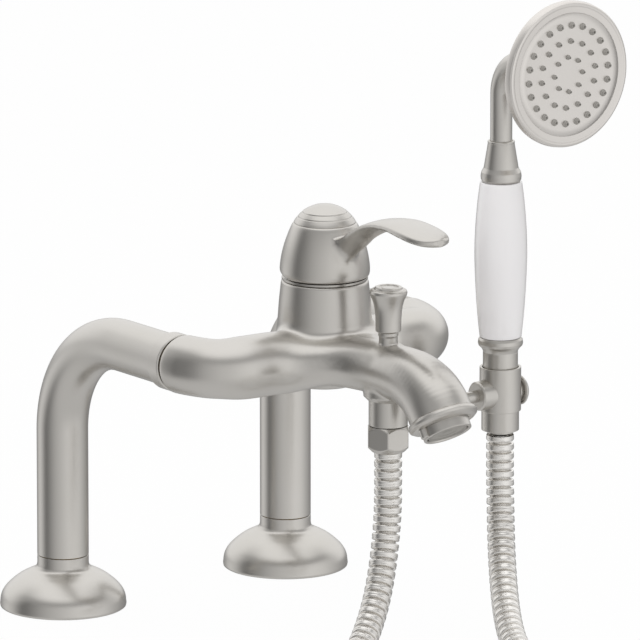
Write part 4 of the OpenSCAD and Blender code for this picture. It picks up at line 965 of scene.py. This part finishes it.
@dataclass
class Hose:
    """Ribbed hose: the run from the outlet with its coil, and the run up to the sleeve."""

    radius: float = 7.5
    pitch: float = 5.0
    coil_centre: tuple[float, float] = (-13.0, -456.0)
    coil_radius: float = 82.5
    layer: float = 15.6
    split_z: float = 77.0
    sides: int = 36
    outlet_route: tuple = ((0, -194, 114), (0, -194, 98), (0, -194, 82), (-2.5, -195.5, 66),
        (-8, -199.5, 50), (-16, -205.5, 36), (-27, -213, 24), (-40, -222, 15), (-55, -232, 9.5),
        (-69, -244, 7.6), (-81, -258, 7.5), (-89, -275, 7.5), (-94, -295, 7.5),
        *((-95.5, y, 7.5) for y in (-317, -338, -359, -380, -401, -421, -441)))
    handset_route: tuple = ((75, -194, 111.5), (75, -194, 100), (75, -194, 88), (73.5, -196.5, 74),
        (70, -201.5, 60), (65, -209, 46.5), (59, -218.5, 34.5), (52, -230, 24), (45, -243, 15.5),
        (39, -257, 10), (34.5, -272, 7.8), (32, -288, 7.5), (32.5, -305, 7.5), (36, -322, 8.2),
        (43, -338, 10.5), (51.5, -353, 14.2), (60, -370, 18.5), (66.7, -388.5, 22),
        (69.5, -408, 23.1), (69.5, -424.5, 23.1), (69.5, -441, 23.1))

    def coil(self) -> np.ndarray:
        """Gives the coil's centreline: a turn and a half that climbs one layer."""
        (cx, cy), r, low = self.coil_centre, self.coil_radius, self.radius
        line = []
        for t in np.linspace(0, 1.5, 109):
            a = math.radians(180 - 360 * t)
            climb = min(1.0, max(0.0, (t - 0.56) / 0.34))
            line.append((cx + r * math.cos(a), cy - r * math.sin(a),
                low + self.layer * climb ** 2 * (3 - 2 * climb)))
        return np.array(line)

    def ribbed(self, path: np.ndarray, start: float, end: float, slim: float = 0.0) -> Shape:
        """Rings part of a line with the hose's ribs.

        Args:
            path: Points of the whole line.
            start: Running length where the hose begins.
            end: Running length where it ends.
            slim: How much the hose is drawn thinner.

        Returns:
            The ribbed surface.
        """
        run = running(path)
        fine = np.linspace(0, run[-1], int(run[-1] / 1.5) + 2)
        line = np.column_stack([np.interp(fine, run, path[:, k]) for k in range(3)])
        # share of the pitch and depth of each ring of a rib
        rib = [(0.0, 2.0), (0.07, 1.95), (0.12, 0.8), (0.18, 0.25), (0.28, 0.04), (0.40, 0.0),
            (0.55, 0.08), (0.61, 0.22), (0.67, 0.08), (0.80, 0.16), (0.88, 0.55), (0.94, 1.8)]
        first, last = math.floor(start / self.pitch) - 1, math.ceil(end / self.pitch) + 1
        table = np.array([(min(max((k + share) * self.pitch, start), end),
            self.radius - depth - slim) for k in range(first, last) for share, depth in rib])
        at, across, over = (np.column_stack([np.interp(table[:, 0], fine, v[:, c])
            for c in range(3)]) for v in (line, *frames_along(line)))
        skin = rings(at, across, over, table[:, 1], self.sides)
        apart = np.flatnonzero(np.diff(table[:, 0]) > 1e-9).tolist()
        return Shape(skin.reshape(-1, 3), bands(apart, self.sides))

    def build(self) -> None:
        """Makes the two cords and the stub that slides with the handset."""
        outlet = np.vstack([through(self.outlet_route, 8, NEARING), self.coil()])
        outlet = outlet[np.concatenate([[True], np.diff(running(outlet)) > 1e-6])]
        outlet = np.vstack([outlet, self.handset_route[-1:]])
        long = float(running(outlet)[-1])
        hanging = piece("hose_to_coil", self.ribbed(outlet, 0, long), "hose_outlet_run",
            "hose_coil", finish=HOSE_STRIP)
        rising = through(self.handset_route, 8, NEARING)[::-1]
        run = running(rising)
        split = float(np.interp(self.split_z, rising[-60:, 2], run[-60:]))
        to_cradle = piece("hose_to_handset", self.ribbed(rising, 0, float(run[-1])),
            "hose_handset_run", finish=HOSE_STRIP, body=None)
        stub = piece("hose_top", self.ribbed(rising, split, float(run[-1]), 2.1), finish=HOSE_STRIP,
            body="hose_end")
        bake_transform(to_cradle)


class Inside:
    """Inner works: CAD nodes that stay, each in its real material."""

    def build(self) -> None:
        """Dresses the nodes that no piece replaces."""
        finishes = {f.slot: f for f in (BRASS, RUBBER, SILICONE, CERAMIC, ACETAL, STAINLESS,
            SATIN_NICKEL, PORCELAIN, HOSE_STRIP)}
        slots = {p["node"]: p["material_slot"] for p in frame["record"]["subparts"]}
        for name, node in frame["nodes"].items():
            node.data.materials.clear()
            node.data.materials.append(material_of(finishes[slots[name]]))
        LOG.info("inner works: %d nodes dressed", len(frame["nodes"]))


@dataclass
class Studio:
    """Camera, floor, lamps and the room that the metal mirrors."""

    azimuth: float = 36.5663
    elevation: float = 13.0306
    distance: float = 6000.0
    scale: float = 1.8602
    centre: tuple[float, float] = (283.253, 351.197)
    aim: tuple[float, float, float] = (0.0, -100.0, 150.0)
    picture: int = 640
    film_mm: float = 36.0
    floor_glow: float = 0.96
    fill: float = 0.78

    def axes(self) -> tuple[np.ndarray, np.ndarray, np.ndarray]:
        """Gives the camera's right, up and backward directions."""
        a, e = math.radians(self.azimuth), math.radians(self.elevation)
        back = np.array([-math.sin(a) * math.cos(e), -math.cos(a) * math.cos(e), math.sin(e)])
        right = np.array([math.cos(a), -math.sin(a), 0])
        return right, np.cross(back, right), back

    def camera(self) -> None:
        """Sets the camera at the photograph's angle and scale."""
        right, up, back = self.axes()
        data = bpy.data.cameras.new("camera")
        data.sensor_width = self.film_mm
        data.lens = self.scale * self.distance * self.film_mm / self.picture
        data.clip_end = 50
        made = linked("camera", data)
        half = self.picture / 2
        shift = (half - self.centre[0]) * right + (self.centre[1] - half) * up
        place = np.array(self.aim) + self.distance * back + shift / self.scale
        matrix = Matrix([(*v,) for v in np.column_stack([right, up, back]).tolist()]).to_4x4()
        matrix.translation = Vector((place * MM).tolist())
        made.matrix_world = matrix
        bpy.context.scene.camera = made

    def floor(self) -> None:
        """Lays the pale floor, white to the camera but for the mixer's faint shadow."""
        mesh = bpy.data.meshes.new("floor")
        half = 6
        mesh.from_pydata([(-half, -half, 0), (half, -half, 0), (half, half, 0), (-half, half, 0)],
            [], [(0, 1, 2, 3)])
        material = material_of(BOARD)
        tree = material.node_tree
        shader = next(n for n in tree.nodes if n.type == "BSDF_PRINCIPLED")
        out = next(n for n in tree.nodes if n.type == "OUTPUT_MATERIAL")
        path = add(tree, "ShaderNodeLightPath")
        glow = add(tree, "ShaderNodeEmission", {"Color": linear("#FFFFFF"), "Strength": 1.0})
        share = add(tree, "ShaderNodeMath", {0: path.outputs["Is Camera Ray"], 1: self.floor_glow},
            operation="MULTIPLY")
        mixed = add(tree, "ShaderNodeMixShader",
            {0: share.outputs[0], 1: shader.outputs[0], 2: glow.outputs[0]})
        tree.links.new(mixed.outputs[0], out.inputs["Surface"])
        mesh.materials.append(material)
        made = linked("floor", mesh)
        made.visible_glossy = False
        made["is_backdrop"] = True

    def room(self) -> None:
        """Paints the room: white to the camera, and a soft studio to the metal."""
        world = bpy.data.worlds.new("studio")
        bpy.context.scene.world = world
        world.use_nodes = True
        tree = world.node_tree
        tree.nodes.clear()
        back = self.axes()[2]
        facing = math.atan2(back[1], back[0])
        place = add(tree, "ShaderNodeTexCoord")
        turned_in = add(tree, "ShaderNodeVectorRotate",
            {"Vector": place.outputs["Generated"], "Angle": -facing}, rotation_type="Z_AXIS")
        parts = add(tree, "ShaderNodeSeparateXYZ", {0: turned_in.outputs[0]})
        angle = add(tree, "ShaderNodeMath", {0: parts.outputs["Y"], 1: parts.outputs["X"]},
            operation="ARCTAN2")
        around = add(tree, "ShaderNodeMapRange",
            {"Value": angle.outputs[0], "From Min": -math.pi, "From Max": math.pi})
        height = add(tree, "ShaderNodeMapRange",
            {"Value": parts.outputs["Z"], "From Min": -1.0, "From Max": 1.0})
        walls = self.ramp(tree, around.outputs[0],
            [(-180, 0.30), (-150, 0.34), (-124, 1.0), (-102, 0.75), (-80, 0.12), (-58, 0.34),
            (-30, 0.62), (0, 0.80), (40, 1.06), (75, 0.95), (100, 0.7), (128, 0.45), (152, 0.3),
            (180, 0.3)], 180)
        away = self.ramp(tree, around.outputs[0],
            [(-180, 1), (-128, 1), (-100, 0), (100, 0), (128, 1), (180, 1)], 180)
        near_sky = [(-1, 0.75), (-0.5, 0.7), (0.62, 0.42), (0.72, 0.38), (0.8, 0.8), (0.9, 1.25),
            (1, 1.25)]
        near_level = [(-1, 0), (-0.6, 0), (-0.4, 1), (0.45, 1), (0.62, 0), (1, 0)]
        far_sky = [(-1, 0.75), (-0.3, 0.45), (0, 0.65), (0.1, 1.1), (1, 1.25)]
        far_level = [(-1, 0), (-0.6, 0), (-0.4, 1), (-0.12, 1), (-0.02, 0), (1, 0)]
        near, far = (
            self.mix(tree, self.ramp(tree, height.outputs[0], level),
                self.ramp(tree, height.outputs[0], sky), walls)
            for sky, level in ((near_sky, near_level), (far_sky, far_level)))
        ray = add(tree, "ShaderNodeLightPath")
        mirrored = self.mix(tree, away, near, far)
        diffuse = self.mix(tree, ray.outputs["Is Diffuse Ray"], mirrored, self.fill)
        seen = self.mix(tree, ray.outputs["Is Camera Ray"], diffuse, 1.0)
        glow = add(tree, "ShaderNodeBackground", {"Color": linear("#FFFFFF"), "Strength": seen})
        add(tree, "ShaderNodeOutputWorld", {"Surface": glow.outputs[0]})

    def mix(self, tree: bpy.types.NodeTree, share: bpy.types.NodeSocket,
            *values: bpy.types.NodeSocket | float) -> bpy.types.NodeSocket:
        """Adds a mix of two values by a share, and gives its socket."""
        sockets = {0: share, 2: values[0], 3: values[1]}
        return add(tree, "ShaderNodeMix", sockets, data_type="FLOAT").outputs[0]

    def ramp(self, tree: bpy.types.NodeTree, feed: bpy.types.NodeSocket, stops: Outline,
            reach: float = 1.0) -> bpy.types.NodeSocket:
        """Adds a grey ramp over a range.

        Args:
            tree: Node tree that takes it.
            feed: Socket that drives it, from 0 to 1.
            stops: Place and brightness of each stop.
            reach: Half of the range that the places are counted in.

        Returns:
            The ramp's socket.
        """
        made = add(tree, "ShaderNodeValToRGB", {"Fac": feed})
        band = made.color_ramp
        while len(band.elements) < len(stops):
            band.elements.new(0.5)
        for element, (place, _) in zip(band.elements, stops):
            element.position = (place / reach + 1) / 2
        for element, (_, value) in zip(band.elements, stops):
            element.color = (value, value, value, 1)
        return made.outputs["Color"]

    def lamps(self) -> None:
        """Hangs two soft lamps: one overhead and one at the front left."""
        lamps = (("overhead", (-0.2, -0.5, 1.7), (0, -0.18, 0.15), 1.1, 5.0),
            ("front_left", (-1.5, -1.4, 0.9), (0, -0.15, 0.15), 0.9, 4.0))
        for name, place, aim, size, power in lamps:
            data = bpy.data.lights.new(name, "AREA")
            data.size, data.energy = size, power
            made = linked(name, data)
            made.visible_glossy = False
            made.location = place
            made.rotation_euler = (Vector(place) - Vector(aim)).to_track_quat("Z", "Y").to_euler()

    def build(self) -> None:
        """Sets the camera, floor, room and lamps."""
        self.camera()
        self.floor()
        self.room()
        self.lamps()
        bpy.context.scene.view_settings.view_transform = "Standard"


def main() -> None:
    """Builds the mixer's pieces in order."""
    logging.basicConfig(level=logging.INFO, format="%(message)s")
    Inside().build()
    Studio().build()
    Hose().build()
    for side in (-1, 1):
        Pillar(side).build()
    for part in (Casting(), Aerator(), Lever(), Diverter(), HoseNut(), Cradle(), Handset()):
        part.build()
    boxes = {name: [[float(v) for v in corner] for corner in box]
             for name, box in (("cad", CAD_BOX), ("visual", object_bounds()))}


if __name__ == "__main__":
    main()
